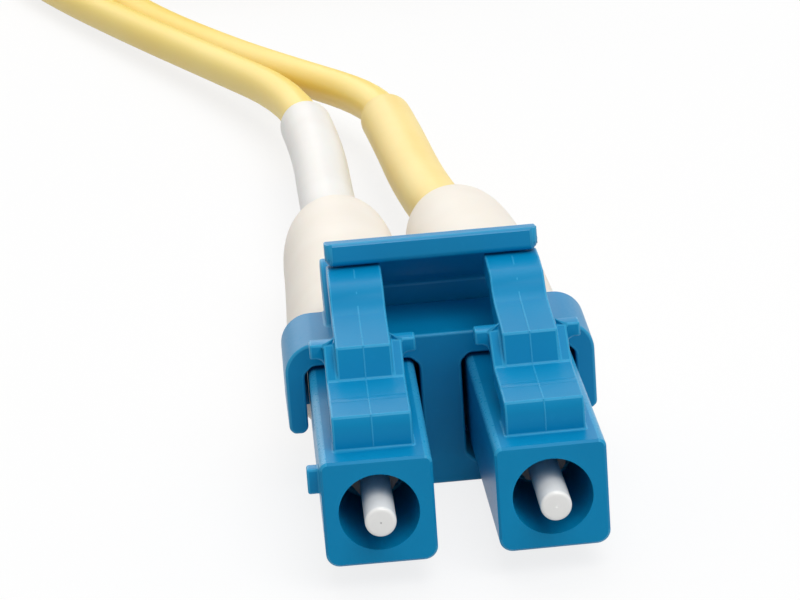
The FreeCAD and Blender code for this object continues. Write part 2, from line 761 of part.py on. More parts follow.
def jacket_and_marker(parts, name, route, side, far, hank_end):
    """One jacket from the rear body's stem to the hank, its marker sleeve and the boot's way for both."""
    start = axis_point(STEM_END + JACKET_END_GAP, side, far)
    points = [start] + [Vector(*p) for p in route] + [hank_end]
    corners = route_corners(points)
    radii = [round(corner[3], 1) for corner in corners]
    along = (points[1] - start).normalize()
    jacket = tube(cord_face(start, along, JACKET_RADIUS), points, corners, start, hank_end)
    length = jacket.Volume / cord_face(start, along, JACKET_RADIUS).Area
    print(name, "jacket, bend radii", radii, "length", round(length, 1))

    marker_start = (points[1] + points[2]) * 0.5
    marker_end = (points[4] + points[5]) * 0.5
    along = (points[2] - points[1]).normalize()
    inner = corners[1:4]
    bore = cord_face(marker_start, along, MARKER_BORE_RADIUS)
    ring = cord_face(marker_start, along, MARKER_RADIUS).cut(bore).Faces[0]
    marker = tube(ring, points[1:], inner, marker_start, marker_end)
    socket_face = cord_face(marker_start, along, MARKER_RADIUS + BOOT_CLEARANCE)
    socket = tube(socket_face, points[1:], inner[:2], marker_start, (points[3] + points[4]) * 0.5)
    way_face = cord_face(start, (points[1] - start).normalize(), MARKER_BORE_RADIUS)
    way = tube(way_face, points, corners[:1], start, marker_start)
    parts[name + "_boot"] = parts[name + "_boot"].cut([socket, way])
    parts[name + "_jacket"] = jacket
    parts[name + "_marker_sleeve"] = marker
    return length


def hank_floor():
    """Height of the hank's underside, which its tie lifts off the floor."""
    return TIE_THICKNESS + TIE_CLEARANCE


def lane_x(lane, draw):
    """Middle of a run, drawn in by a distance: even lanes are on the hank's right, odd ones on its left."""
    reach = HANK_INNER_REACH + HANK_STEP * lane / 2 - draw
    return HANK_MIDDLE_X + (-reach if lane % 2 else reach)


def lane_order():
    """Lanes from the entry to the exit: inwards along the lower layer and outwards along the upper one."""
    inwards = list(range(HANK_LANES - 1, -1, -1))
    return inwards + inwards[-2::-1]


def hank_run(index, lane):
    """Start, waist and end of a run, and the directions there; the innermost run climbs a layer."""
    climbing = HANK_LANES - 1
    low = hank_floor() + 2 * JACKET_RADIUS
    start_z = low + HANK_LAYER_STEP * (index > climbing)
    end_z = low + HANK_LAYER_STEP * (index >= climbing)
    along = 1 if lane % 2 else -1
    start_y = HANK_NEAR_Y if lane % 2 else HANK_FAR_Y
    end_y = HANK_NEAR_Y + HANK_FAR_Y - start_y
    x = lane_x(lane, 0)
    slope = 2 * math.atan2(end_z - start_z, HANK_FAR_Y - HANK_NEAR_Y)
    waist = Vector(lane_x(lane, HANK_WAIST_DRAW), (start_y + end_y) / 2, (start_z + end_z) / 2)
    level = Vector(0, along, 0)
    climb = Vector(0, along * math.cos(slope), math.sin(slope))
    return Vector(x, start_y, start_z), waist, Vector(x, end_y, end_z), level, climb


def hank_ends():
    """Ends of the hank's cord, a straight diameter past its first and last run."""
    order = lane_order()
    start, waist, end, level, climb = hank_run(0, order[0])
    first = start - level * (2 * JACKET_RADIUS)
    start, waist, end, level, climb = hank_run(len(order) - 1, order[-1])
    return first, end + level * (2 * JACKET_RADIUS)


def hank():
    """Flat cord wound on edge in long turns: inwards along the lower layer, up a layer and outwards again."""
    place, last = hank_ends()
    first = place
    edges = []
    for index, lane in enumerate(lane_order()):
        start, waist, end, level, climb = hank_run(index, lane)
        if edges:
            bulge = (place + start) * 0.5 - level * ((start - place).Length / 2)
            edges.append(Part.Arc(place, bulge, start).toShape())
        else:
            edges.append(Part.LineSegment(place, start).toShape())
        edges += biarc(start, level, waist, climb) + biarc(waist, climb, end, level)
        place = end
    edges.append(Part.LineSegment(place, last).toShape())
    wide = JACKET_RADIUS
    tall = 2 * JACKET_RADIUS
    outline = ((wide, tall), (-wide, tall), (-wide, -tall), (wide, -tall))
    corners = [first + Vector(x, 0, z) for x, z in outline]
    wire = Part.Wire(edges)
    sweep = Part.BRepOffsetAPI.MakePipeShell(wire)
    sweep.setBiNormalMode(Z_AXIS)
    sweep.add(Part.makePolygon(corners + corners[:1]))
    sweep.build()
    sweep.makeSolid()
    solid = sweep.shape()
    area = 4 * wide * tall
    print("hank, length", round(wire.Length, 1), "volume over section", round(solid.Volume / area, 1))
    print("hank, least gap to itself", round(hank_gap(wire), 3))
    return solid, wire.Length


def hank_gap(wire):
    """Least gap between two runs or turns of the hank, measured on points of its middle line."""
    points = wire.discretize(Number=int(wire.Length))
    apart = int(HANK_INNER_REACH * 1.5)
    least = HANK_STEP * HANK_LANES
    for index, point in enumerate(points):
        for other in points[index + apart :]:
            beside = math.hypot(other.x - point.x, other.y - point.y) - 2 * JACKET_RADIUS
            above = abs(other.z - point.z) - 4 * JACKET_RADIUS
            least = min(least, max(beside, above))
    return least


def hank_tie():
    """Strap round all the runs at the hank's waist."""
    sides = [lane_x(lane, HANK_WAIST_DRAW) for lane in range(HANK_LANES)]
    left = min(sides) - JACKET_RADIUS - TIE_SIDE_CLEARANCE
    right = max(sides) + JACKET_RADIUS + TIE_SIDE_CLEARANCE
    high = hank_floor() + HANK_LAYER_STEP + 4 * JACKET_RADIUS + TIE_CLEARANCE
    start = (HANK_NEAR_Y + HANK_FAR_Y - TIE_LENGTH) / 2
    end = start + TIE_LENGTH
    strap = block(left - TIE_THICKNESS, right + TIE_THICKNESS, start, end, 0, high + TIE_THICKNESS)
    strap = strap.makeChamfer(TIE_THICKNESS, edges_along(strap, 1, lambda p: True))
    opening = block(left, right, start - 1, end + 1, TIE_THICKNESS, high)
    opening = opening.makeChamfer(TIE_THICKNESS / 2, edges_along(opening, 1, lambda p: True))
    return strap.cut(opening)


def connector(parts, end_name, far):
    """Every rigid piece of one connector, under its names."""
    for side_name, side in (("left", -1), ("right", 1)):
        name = end_name + "_" + side_name
        parts[name + "_plug_housing"] = at_end(on_plug(plug_housing(side < 0), side), far)
        parts[name + "_latch"] = at_end(on_plug(latch(), side), far)
        parts[name + "_ferrule"] = at_end(on_plug(ferrule(), side), far)
        parts[name + "_ferrule_holder"] = at_end(on_plug(ferrule_holder(), side), far)
        parts[name + "_spring"] = at_end(on_plug(spring(), side), far)
        parts[name + "_rear_body"] = at_end(on_plug(rear_body(), side), far)
        parts[name + "_crimp_sleeve"] = at_end(on_plug(crimp_sleeve(), side), far)
        parts[name + "_buffer_tube"] = at_end(on_plug(buffer_tube(), side), far)
        parts[name + "_boot"] = at_end(on_plug(boot(BOOT_LEANS_DEG[name]), side), far)
    parts[end_name + "_duplex_clip"] = at_end(duplex_clip(), far)
    parts[end_name + "_trigger"] = at_end(trigger(), far)


def cord(parts):
    """The jackets, their marker sleeves, the hank and its tie."""
    first, last = hank_ends()
    lower = Vector(0, 0, -JACKET_RADIUS - JACKET_GAP / 2)
    upper = Vector(0, 0, JACKET_RADIUS + JACKET_GAP / 2)
    runs = (
        ("near_left", NEAR_LEFT_ROUTE, -1, False, first + lower),
        ("near_right", NEAR_RIGHT_ROUTE, 1, False, first + upper),
        ("far_left", FAR_LEFT_ROUTE, -1, True, last + upper),
        ("far_right", FAR_RIGHT_ROUTE, 1, True, last + lower),
    )
    lengths = {}
    for name, route, side, far, hank_end in runs:
        lengths[name] = jacket_and_marker(parts, name, route, side, far, hank_end)
    parts["cord_hank"], hank_length = hank()
    parts["hank_tie"] = hank_tie()
    inside = STEM_END + FERRULE_REACH
    first_length = lengths["near_left"] + hank_length + lengths["far_right"]
    second_length = lengths["near_right"] + hank_length + lengths["far_left"]
    for length in (first_length, second_length):
        print("whole jacket", round(length, 1), "from tip to tip", round(length + 2 * inside, 1))


def main():
    """Build every piece and write one file for each."""
    parts = {}
    connector(parts, "near", False)
    connector(parts, "far", True)
    cord(parts)
    os.makedirs("parts", exist_ok=True)
    for name, shape in parts.items():
        shape.exportStep(os.path.join("parts", name + ".step"))


main()
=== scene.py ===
"""Looks of a duplex fibre patch cord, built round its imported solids.

Sizes are in millimetres unless a name or docstring says otherwise, and meshes are in metres in the row
frame. A station is a place along a plug, counted from its front face.
"""

import json
import logging
import math
from collections.abc import Callable, Sequence
from dataclasses import dataclass
from enum import Enum
from functools import cache, cached_property

import bmesh
import bpy
from bmesh.types import BMesh
from bpy.types import Object
from mathutils import Matrix, Vector
from mathutils.bvhtree import BVHTree


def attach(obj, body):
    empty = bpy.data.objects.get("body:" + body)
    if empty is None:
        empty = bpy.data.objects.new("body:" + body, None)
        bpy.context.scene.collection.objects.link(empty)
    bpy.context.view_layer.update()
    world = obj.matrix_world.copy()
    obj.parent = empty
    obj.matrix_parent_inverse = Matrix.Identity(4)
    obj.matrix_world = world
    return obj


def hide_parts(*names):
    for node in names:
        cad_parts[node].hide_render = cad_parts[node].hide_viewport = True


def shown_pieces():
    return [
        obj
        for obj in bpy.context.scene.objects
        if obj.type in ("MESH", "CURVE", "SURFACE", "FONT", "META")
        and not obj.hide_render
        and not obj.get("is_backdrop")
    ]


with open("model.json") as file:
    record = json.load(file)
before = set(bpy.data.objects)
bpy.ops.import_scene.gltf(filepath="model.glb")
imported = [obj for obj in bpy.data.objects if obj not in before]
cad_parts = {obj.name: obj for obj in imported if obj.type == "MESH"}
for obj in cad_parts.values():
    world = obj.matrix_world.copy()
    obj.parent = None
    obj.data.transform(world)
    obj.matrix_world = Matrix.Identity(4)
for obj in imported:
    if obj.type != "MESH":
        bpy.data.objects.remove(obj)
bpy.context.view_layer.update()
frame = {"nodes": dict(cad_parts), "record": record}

LOG = logging.getLogger("patch_cord")
NODES = frame["nodes"]
FIXED_BODY = "patch_cord"
MM = 0.001
# Points nearer than this, in metres, are one point
MERGE = 2e-6
# Narrow faces that round an edge have less than the second width, and count in full up to the first; the
# plastics paint a highlight on them
RIM_WIDTHS = (0.05, 0.09)
Pair = tuple[float, float]
Triple = tuple[float, float, float]


class End(Enum):
    """One of the cord's two connectors."""

    NEAR = "near"
    FAR = "far"


class Side(Enum):
    """One of a connector's two plugs, as seen from the plug fronts."""

    LEFT = -1
    RIGHT = 1


@dataclass(frozen=True)
class Layout:
    """Where the plugs sit in their pair and where the far pair lies on the hank."""

    pitch: float = 6.55
    splay_deg: float = 0.7
    clip_station: float = 12.3
    axis_height: float = 3.34
    far_place: Triple = (6.6, 96.0, 9.41)

    def pair(self, end: End) -> Matrix:
        """Matrix from a connector's own frame, whose Y is a station, to the row frame."""
        move = Matrix.Translation((0, -self.clip_station, self.axis_height))
        return move if end is End.NEAR else Matrix.Translation(self.far_place) @ move

    def plug(self, end: End, side: Side) -> Matrix:
        """Place of a plug's own frame.

        Args:
            end: the connector.
            side: the plug in it.

        Returns:
            The matrix from the plug's frame, whose Y axis is the plug's own, to the row frame.
        """
        middle = Matrix.Translation((0, self.clip_station, 0))
        turn = Matrix.Rotation(math.radians(side.value * self.splay_deg), 4, "Z")
        shift = Matrix.Translation((side.value * self.pitch / 2, 0, 0))
        return self.pair(end) @ shift @ middle @ turn @ middle.inverted()


LAYOUT = Layout()


class Value:
    """A node socket that takes part in Python arithmetic."""

    def __init__(self, graph: "Graph", socket: bpy.types.NodeSocket) -> None:
        """Wraps a socket of one node tree."""
        self.graph = graph
        self.socket = socket

    def join(self, operation: str, first: "Value | float", second: "Value | float") -> "Value":
        """Result of a Math node on two values."""
        return self.graph.node("ShaderNodeMath", {"operation": operation}, {0: first, 1: second})

    def __add__(self, other: "Value | float") -> "Value":
        """Sum."""
        return self.join("ADD", self, other)

    def __mul__(self, other: "Value | float") -> "Value":
        """Product."""
        return self.join("MULTIPLY", self, other)

    def __sub__(self, other: "Value | float") -> "Value":
        """Difference."""
        return self.join("SUBTRACT", self, other)

    def __rsub__(self, other: float) -> "Value":
        """Difference from a number."""
        return self.join("SUBTRACT", other, self)

    __radd__ = __add__
    __rmul__ = __mul__


class Graph:
    """A node tree that is filled node by node."""

    def __init__(self, tree: bpy.types.NodeTree) -> None:
        """Takes a tree and empties it."""
        self.tree = tree
        self.tree.nodes.clear()

    def node(
        self, kind: str, settings: dict | None = None, inputs: dict | None = None, out: int | str = 0
    ) -> Value | None:
        """Adds a node.

        Args:
            kind: the node's type.
            settings: its own settings, set first.
            inputs: values or links for its sockets, by name or index.
            out: the output that is wanted.

        Returns:
            The wanted output, or None for a node that has none.
        """
        made = self.tree.nodes.new(kind)
        for key, value in (settings or {}).items():
            setattr(made, key, value)
        for key, value in (inputs or {}).items():
            if isinstance(value, Value):
                self.tree.links.new(value.socket, made.inputs[key])
            else:
                made.inputs[key].default_value = value
        return Value(self, made.outputs[out]) if made.outputs else None


class Recipe(Graph):
    """The node tree of one material."""

    def __init__(self, name: str) -> None:
        """Starts an empty material.

        Args:
            name: the material's name.
        """
        self.material = bpy.data.materials.new(name)
        self.material.use_nodes = True
        super().__init__(self.material.node_tree)

    def mix(self, first: Value | tuple, second: Value | tuple, factor: Value | float) -> Value:
        """Colour between two colours."""
        return self.node("ShaderNodeMix", {"data_type": "RGBA"}, {6: first, 7: second, 0: factor}, out=2)

    def noise(self, size: float, detail: float = 3.0, squeeze: Triple | None = None) -> Value:
        """Noise between 0 and 1.

        Args:
            size: width of one of its blotches.
            detail: octaves of finer noise on it.
            squeeze: how far it is squeezed along each axis.

        Returns:
            The noise value.
        """
        where = self.node("ShaderNodeTexCoord", out="Object")
        if squeeze:
            where = self.node("ShaderNodeMapping", None, {"Vector": where, "Scale": squeeze})
        inputs = {"Vector": where, "Scale": 1 / (size * MM), "Detail": detail}
        return self.node("ShaderNodeTexNoise", None, inputs)

    def ramp(self, value: Value, low: float, high: float) -> Value:
        """Value stretched so that low becomes 0 and high becomes 1."""
        return self.node("ShaderNodeMapRange", None, {"Value": value, "From Min": low, "From Max": high})

    def bump(self, height: Value, strength: float, depth: float) -> Value:
        """Normal of a skin whose pattern stands up from it."""
        inputs = {"Strength": strength, "Distance": depth * MM, "Height": height}
        return self.node("ShaderNodeBump", None, inputs)

    def surface(self, shader: Value) -> bpy.types.Material:
        """Material whose surface is a shader."""
        self.node("ShaderNodeOutputMaterial", None, {"Surface": shader})
        return self.material

    def solid(self, inputs: dict) -> bpy.types.Material:
        """Material of a solid thing whose Principled shader has these inputs."""
        return self.surface(self.node("ShaderNodeBsdfPrincipled", None, inputs))


def linear(screen: Triple, share: float = 1.0) -> tuple[float, float, float, float]:
    """Linear colour, with a full alpha, of a share of a screen colour from 0 to 255."""
    parts = (c / 255 / 12.92 if c <= 10 else ((c / 255 + 0.055) / 1.055) ** 2.4 for c in screen)
    return (*(share * part for part in parts), 1.0)


def grey(level: float) -> tuple[float, float, float, float]:
    """Linear grey with a full alpha."""
    return (level, level, level, 1.0)


@dataclass(frozen=True)
class Plastic:
    """Moulded or extruded plastic or rubber, with screen colours from 0 to 255.

    Its colour drifts a little, its skin is finely grained, small random specks are a little paler and
    rougher, and its rounded edges are painted paler as a highlight along them.
    """

    name: str
    colour: Triple
    deep: Triple
    # pale colour of the painted highlight on rounded edges, which random specks also lean a little towards
    edge: Triple
    roughness: float
    grain: float = 0.12
    grain_strength: float = 0.12
    drift: float = 4.0
    speck: float = 0.35
    shine: float = 0.5
    softness: float = 0.0

    def make(self) -> bpy.types.Material:
        """Builds the material.

        Returns:
            The material.
        """
        r = Recipe(self.name)
        drift = r.ramp(r.noise(self.drift, 2.0), 0.3, 0.7)
        specks = r.ramp(r.noise(self.speck, 4.0), 0.62, 0.78)
        rim = r.node("ShaderNodeAttribute", {"attribute_name": "rim"}, out="Fac")
        grain = r.noise(self.grain)
        colour = r.mix(linear(self.deep), linear(self.colour), drift * 0.6 + 0.4)
        # painted highlight: faces marked as rims are mixed over halfway towards the pale edge colour, and
        # random specks a little
        colour = r.mix(colour, linear(self.edge), rim * 0.55 + specks * 0.06)
        return r.solid({
            "Base Color": colour,
            "Roughness": self.roughness + (grain - 0.5) * 0.14 + specks * 0.08 - rim * 0.05,
            "Normal": r.bump(grain, self.grain_strength, 0.02),
            "Specular IOR Level": self.shine,
            "Subsurface Weight": self.softness,
            "Subsurface Scale": 0.6 * MM,
        })


@dataclass(frozen=True)
class Ceramic:
    """Ground and polished ceramic, with a screen colour from 0 to 255."""

    name: str
    colour: Triple
    roughness: float = 0.18

    def make(self) -> bpy.types.Material:
        """Builds the material.

        Returns:
            The material.
        """
        r = Recipe(self.name)
        haze = r.noise(0.5)
        lines = r.noise(0.03, 2.0, (0.15, 6.0, 0.15))
        return r.solid({
            "Base Color": r.mix(linear(self.colour, 0.94), linear(self.colour), haze),
            "Roughness": self.roughness + haze * 0.08,
            "Normal": r.bump(lines, 0.04, 0.01),
            "Coat Weight": 0.3,
        })


@dataclass(frozen=True)
class Metal:
    """Turned or drawn metal with fine lines round it, with a screen colour from 0 to 255."""

    name: str
    colour: Triple
    roughness: float

    def make(self) -> bpy.types.Material:
        """Builds the material.

        Returns:
            The material.
        """
        r = Recipe(self.name)
        lines = r.noise(0.08, 3.0, (0.3, 5.0, 0.3))
        stain = r.noise(1.2, 2.0)
        return r.solid({
            "Base Color": r.mix(linear(self.colour, 0.8), linear(self.colour), stain * 0.5 + lines * 0.5),
            "Roughness": self.roughness + lines * 0.15,
            "Metallic": 1.0,
            "Normal": r.bump(lines, 0.15, 0.01),
        })


SLEEVE = {"grain": 0.2, "grain_strength": 0.15, "softness": 0.08}
# The third colour of each plastic is the pale colour of the painted highlight on its rounded edges
FINISHES = (
    Plastic("blue_plastic", (0, 141, 194), (0, 132, 186), (62, 174, 219), 0.34, shine=0.15),
    Plastic("blue_clip_plastic", (0, 138, 190), (0, 129, 182), (58, 171, 215), 0.38, shine=0.22),
    Ceramic("white_ceramic", (252, 252, 250)),
    # Painted shade: the nickel is given a dark grey, well below bright nickel, so that the holder looks
    # shaded deep in the plug's cavity
    Metal("nickel_metal", (124, 122, 124), 0.45),
    Metal("spring_steel", (170, 170, 172), 0.35),
    Plastic("white_plastic", (232, 230, 224), (222, 219, 212), (245, 244, 240), 0.4),
    Plastic("buffer_plastic", (240, 236, 222), (230, 226, 210), (246, 244, 236), 0.4),
    Plastic(
        "ivory_rubber", (243, 236, 225), (236, 227, 213), (250, 246, 239), 0.5,
        grain=0.2, grain_strength=0.18, softness=0.08,
    ),
    Plastic("white_sleeve", (243, 241, 237), (236, 232, 227), (250, 249, 246), 0.48, **SLEEVE),
    Plastic("yellow_sleeve", (253, 228, 148), (251, 219, 131), (254, 239, 184), 0.46, **SLEEVE),
    Plastic(
        "yellow_jacket", (255, 228, 128), (254, 218, 98), (255, 236, 165), 0.42,
        grain=0.16, drift=9.0, softness=0.05,
    ),
    Plastic(
        "tie_plastic", (226, 226, 224), (208, 208, 206), (240, 240, 238), 0.7,
        grain=0.25, grain_strength=0.4, drift=1.2,
    ),
)


@cache
def paint(slot: str) -> bpy.types.Material:
    """Material of one of the record's slots, made when it is first asked for."""
    return next(finish for finish in FINISHES if finish.name == slot).make()


def placed(name: str, data: bpy.types.ID) -> Object:
    """Puts an object in the scene.

    Args:
        name: its name.
        data: its mesh, curve, lamp or camera.

    Returns:
        The object.
    """
    made = bpy.data.objects.new(name, data)
    bpy.context.scene.collection.objects.link(made)
    return made


def settled(made: Object) -> BMesh:
    """Mesh of an object with its modifiers worked out; the object is removed.

    Args:
        made: the object.

    Returns:
        The mesh.
    """
    graph = bpy.context.evaluated_depsgraph_get()
    mesh = bpy.data.meshes.new_from_object(
        made.evaluated_get(graph), preserve_all_data_layers=True, depsgraph=graph
    )
    bpy.data.objects.remove(made)
    bm = bmesh.new()
    bm.from_mesh(mesh)
    bpy.data.meshes.remove(mesh)
    return bm


def mesh_of(bm: BMesh, name: str) -> bpy.types.Mesh:
    """Plain mesh of an edited one.

    Args:
        bm: the edited mesh, which is freed.
        name: the name of the plain one.

    Returns:
        The plain mesh.
    """
    mesh = bpy.data.meshes.new(name)
    bm.to_mesh(mesh)
    bm.free()
    return mesh


def mark_highlight_rims(bm: BMesh) -> None:
    """Writes 1 on the narrow faces that round an edge, and 0 on the others, as the attribute rim, which the
    plastics use to paint a highlight along rounded edges.

    Args:
        bm: the mesh.
    """
    narrowest, widest = RIM_WIDTHS
    layer = bm.faces.layers.float.new("rim")
    for face in bm.faces:
        width = 2 * face.calc_area() / max(face.calc_perimeter(), 1e-9) / MM
        face[layer] = min(1.0, max(0.0, (widest - width) / (widest - narrowest)))


def smooth_by_angle(bm: BMesh, angle_deg: float) -> None:
    """Shades faces smooth, and keeps the edges that turn more than an angle sharp.

    Args:
        bm: the mesh.
        angle_deg: the angle.
    """
    for face in bm.faces:
        face.smooth = True
    for edge in bm.edges:
        edge.smooth = edge.calc_face_angle(0.0) < math.radians(angle_deg)


@dataclass
class Piece:
    """A visible piece: its name, its slot, the body that carries it and the node that it replaces."""

    name: str
    slot: str
    body: str = FIXED_BODY
    stands_for: str = ""

    def wear(self, data: bpy.types.ID) -> Object:
        """Makes the piece from its data.

        Args:
            data: its mesh or curve.

        Returns:
            The piece.
        """
        data.materials.clear()
        data.materials.append(paint(self.slot))
        made = placed(self.name, data)
        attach(made, self.body)
        if self.stands_for:
            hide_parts(self.stands_for)
        LOG.info("%s rides on %s", self.name, self.body)
        return made

    def shape(self, bm: BMesh, sharp_deg: float = 32.0, rims: bool = True) -> Object:
        """Shades a mesh and makes the piece from it.

        Args:
            bm: the mesh, which is freed.
            sharp_deg: the turn from which an edge stays sharp.
            rims: whether its rounded edges are marked, so that the plastics paint a pale highlight on them.

        Returns:
            The piece.
        """
        if rims:
            mark_highlight_rims(bm)
        smooth_by_angle(bm, sharp_deg)
        return self.wear(mesh_of(bm, self.name))


@dataclass
class Moulding:
    """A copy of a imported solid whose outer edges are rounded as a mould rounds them.

    The functions take a place in the row frame: radius gives the rounding of the edges there, and reshape
    gives the place that a point moves to.
    """

    node: str
    slot: str
    radius: Callable[[Vector], float]
    body: str = FIXED_BODY
    reshape: Callable[[Vector], Vector] | None = None
    slack: float = 0.42
    widest: float = 0.5
    steps: int = 3
    flat_deg: float = 0.8
    least_turn_deg: float = 28.0
    sharp_deg: float = 42.0
    radii_in_face: float = 2.3

    def build(self) -> None:
        """Makes the rounded copy, which replaces the node."""
        bm = bmesh.new()
        bm.from_mesh(NODES[self.node].data)
        bmesh.ops.remove_doubles(bm, verts=bm.verts, dist=MERGE)
        bmesh.ops.dissolve_degenerate(bm, edges=bm.edges, dist=MERGE / 2)
        if self.reshape:
            for vert in bm.verts:
                vert.co = self.reshape(vert.co / MM) * MM
        square = BVHTree.FromBMesh(bm)
        bmesh.ops.dissolve_limit(
            bm, angle_limit=math.radians(self.flat_deg), verts=bm.verts, edges=bm.edges
        )
        weight = bm.edges.layers.float.new("bevel_weight_edge")
        for edge in bm.edges:
            edge[weight] = self.rounding(edge) / self.widest
        bm = self.rounded(bm)
        self.pull_back(bm, square)
        bmesh.ops.remove_doubles(bm, verts=bm.verts, dist=MERGE / 2)
        piece = Piece(self.node + "_moulding", self.slot, self.body, self.node).shape(bm, self.sharp_deg)
        piece.modifiers.new("normals", "WEIGHTED_NORMAL").keep_sharp = True

    def rounding(self, edge: bmesh.types.BMEdge) -> float:
        """Radius that an edge is rounded to, within the room that its faces leave.

        Args:
            edge: the edge.

        Returns:
            The radius, or 0 where the edge stays as it is.
        """
        if len(edge.link_faces) != 2 or edge.calc_face_angle(0.0) < math.radians(self.least_turn_deg):
            return 0.0
        start, end = (vert.co for vert in edge.verts)
        along = (end - start).normalized()
        room = min(
            max(((vert.co - start) - along * (vert.co - start).dot(along)).length for vert in face.verts)
            for face in edge.link_faces
        )
        return min(self.radius((start + end) / (2 * MM)), room / (self.radii_in_face * MM))

    def rounded(self, bm: BMesh) -> BMesh:
        """Mesh whose weighted edges are rounded.

        Args:
            bm: the mesh before, which is freed.

        Returns:
            The mesh after.
        """
        rough = placed(self.node + "_copy", mesh_of(bm, self.node + "_copy"))
        bevel = rough.modifiers.new("round", "BEVEL")
        bevel.width = self.widest * MM
        bevel.segments = self.steps
        bevel.limit_method = "WEIGHT"
        bevel.use_clamp_overlap = False
        bevel.miter_outer = "MITER_ARC"
        return settled(rough)

    def pull_back(self, bm: BMesh, square: BVHTree) -> None:
        """Puts points that the rounding threw off the square solid back on it.

        Args:
            bm: the rounded mesh.
            square: the solid before the rounding.
        """
        for vert in bm.verts:
            nearest = square.find_nearest(vert.co)
            if nearest[3] > self.slack * self.radius(vert.co / MM) * MM + MERGE:
                vert.co = nearest[0]


class Growth(Graph):
    """A geometry node tree with named inputs, which turns an object's data into a plain mesh."""

    def __init__(self, name: str, **inputs: str) -> None:
        """Starts a tree.

        Args:
            name: the tree's name.
            inputs: kind of each input by name, besides the geometry and the material.
        """
        super().__init__(bpy.data.node_groups.new(name, "GeometryNodeTree"))
        face = self.tree.interface
        face.new_socket(name="Geometry", in_out="OUTPUT", socket_type="NodeSocketGeometry")
        self.sockets = {
            label: face.new_socket(name=label, in_out="INPUT", socket_type="NodeSocket" + kind).identifier
            for label, kind in {"Geometry": "Geometry", **inputs, "Material": "Material"}.items()
        }
        self.source = self.tree.nodes.new("NodeGroupInput")

    def given(self, label: str) -> Value:
        """One of the tree's inputs."""
        return Value(self, self.source.outputs[label])

    def end_with(self, geometry: Value) -> None:
        """Gives the result its material and sends it out.

        Args:
            geometry: the result.
        """
        solid = self.node("GeometryNodeRealizeInstances", None, {"Geometry": geometry})
        inputs = {"Geometry": solid, "Material": self.given("Material")}
        self.node("NodeGroupOutput", None, {0: self.node("GeometryNodeSetMaterial", None, inputs)})

    def grow(self, data: bpy.types.ID, slot: str, **values: float | Sequence[float]) -> BMesh:
        """Runs the tree.

        Args:
            data: the mesh or curve that it starts from.
            slot: the material slot of the result.
            values: the tree's other inputs, by name, with lengths in metres.

        Returns:
            The mesh.
        """
        start = placed(self.tree.name, data)
        modifier = start.modifiers.new("grow", "NODES")
        modifier.node_group = self.tree
        modifier[self.sockets["Material"]] = paint(slot)
        for label, value in values.items():
            modifier[self.sockets[label.capitalize()]] = value
        return settled(start)


class Ribbon(Growth):
    """Sweeps a rectangle with rounded corners along a curve."""

    def __init__(self) -> None:
        """Builds the tree."""
        super().__init__("ribbon", Width="Float", Thickness="Float", Round="Float", Across="Vector")
        turned = self.node(
            "GeometryNodeSetCurveNormal", {"mode": "FREE"},
            {"Curve": self.given("Geometry"), "Normal": self.given("Across")},
        )
        outline = self.node(
            "GeometryNodeCurvePrimitiveQuadrilateral", None,
            {"Width": self.given("Width"), "Height": self.given("Thickness")},
        )
        soft = self.node(
            "GeometryNodeFilletCurve", {"mode": "POLY"},
            {"Curve": outline, "Radius": self.given("Round"), "Count": 3},
        )
        self.end_with(self.node(
            "GeometryNodeCurveToMesh", None, {"Curve": turned, "Profile Curve": soft, "Fill Caps": True}
        ))

    def sweep(self, data: bpy.types.Curve, slot: str, size: Triple, across: Sequence[float]) -> BMesh:
        """Ribbon along a curve, whose size is its width, thickness and corner round."""
        width, thickness, rounding = (length * MM for length in size)
        return self.grow(data, slot, width=width, thickness=thickness, round=rounding, across=across)


class Pile(Growth):
    """Scatters small upright loops over a mesh."""

    def __init__(self) -> None:
        """Builds the tree."""
        super().__init__("pile", Density="Float", Size="Float", Thread="Float", Seed="Int")
        spread = self.node(
            "GeometryNodeDistributePointsOnFaces", {"distribute_method": "RANDOM"},
            {"Mesh": self.given("Geometry"), "Density": self.given("Density"), "Seed": self.given("Seed")},
        )
        circle = "GeometryNodeCurvePrimitiveCircle"
        ring = self.node(circle, None, {"Resolution": 7, "Radius": self.given("Size")})
        thread = self.node(circle, None, {"Resolution": 3, "Radius": self.given("Thread")})
        loop = self.node("GeometryNodeCurveToMesh", None, {"Curve": ring, "Profile Curve": thread})
        upright = self.node(
            "GeometryNodeTransform", None, {"Geometry": loop, "Rotation": (math.pi / 2, 0.0, 0.0)}
        )
        spin = self.node(
            "FunctionNodeRandomValue", {"data_type": "FLOAT"}, {"Min": 0.0, "Max": math.pi, "Seed": 7}, out=1
        )
        angle = self.node("ShaderNodeCombineXYZ", None, {"Z": spin})
        turn = self.node(
            "FunctionNodeRotateRotation", {"rotation_space": "LOCAL"},
            {
                "Rotation": Value(self, spread.socket.node.outputs["Rotation"]),
                "Rotate By": self.node("FunctionNodeEulerToRotation", None, {"Euler": angle}),
            },
        )
        self.end_with(self.node(
            "GeometryNodeInstanceOnPoints", None, {"Points": spread, "Instance": upright, "Rotation": turn}
        ))


@cache
def ribbon_tree() -> Ribbon:
    """The ribbon's tree, built when it is first asked for."""
    return Ribbon()


def curve(name: str, points: Sequence[Vector], kind: str = "POLY", resolution: int = 12) -> bpy.types.Curve:
    """Curve of one line.

    Args:
        name: its name.
        points: its points.
        kind: POLY for straight pieces, or NURBS for a smooth line that its points pull towards them.
        resolution: steps of a smooth line for each point.

    Returns:
        The curve.
    """
    data = bpy.data.curves.new(name, "CURVE")
    data.dimensions = "3D"
    data.resolution_u = resolution
    spline = data.splines.new(kind)
    spline.points.add(len(points) - 1)
    for point, place in zip(spline.points, points):
        point.co = (*(place * MM), 1.0)
    spline.order_u = 3
    spline.use_endpoint_u = True
    return data


@dataclass(frozen=True)
class Ring:
    """One ring of a lofted shape: how far along its path it lies, and its radius."""

    along: float
    radius: float


def shares(count: int) -> list[float]:
    """Even steps after 0, up to 1."""
    return [step / count for step in range(1, count + 1)]


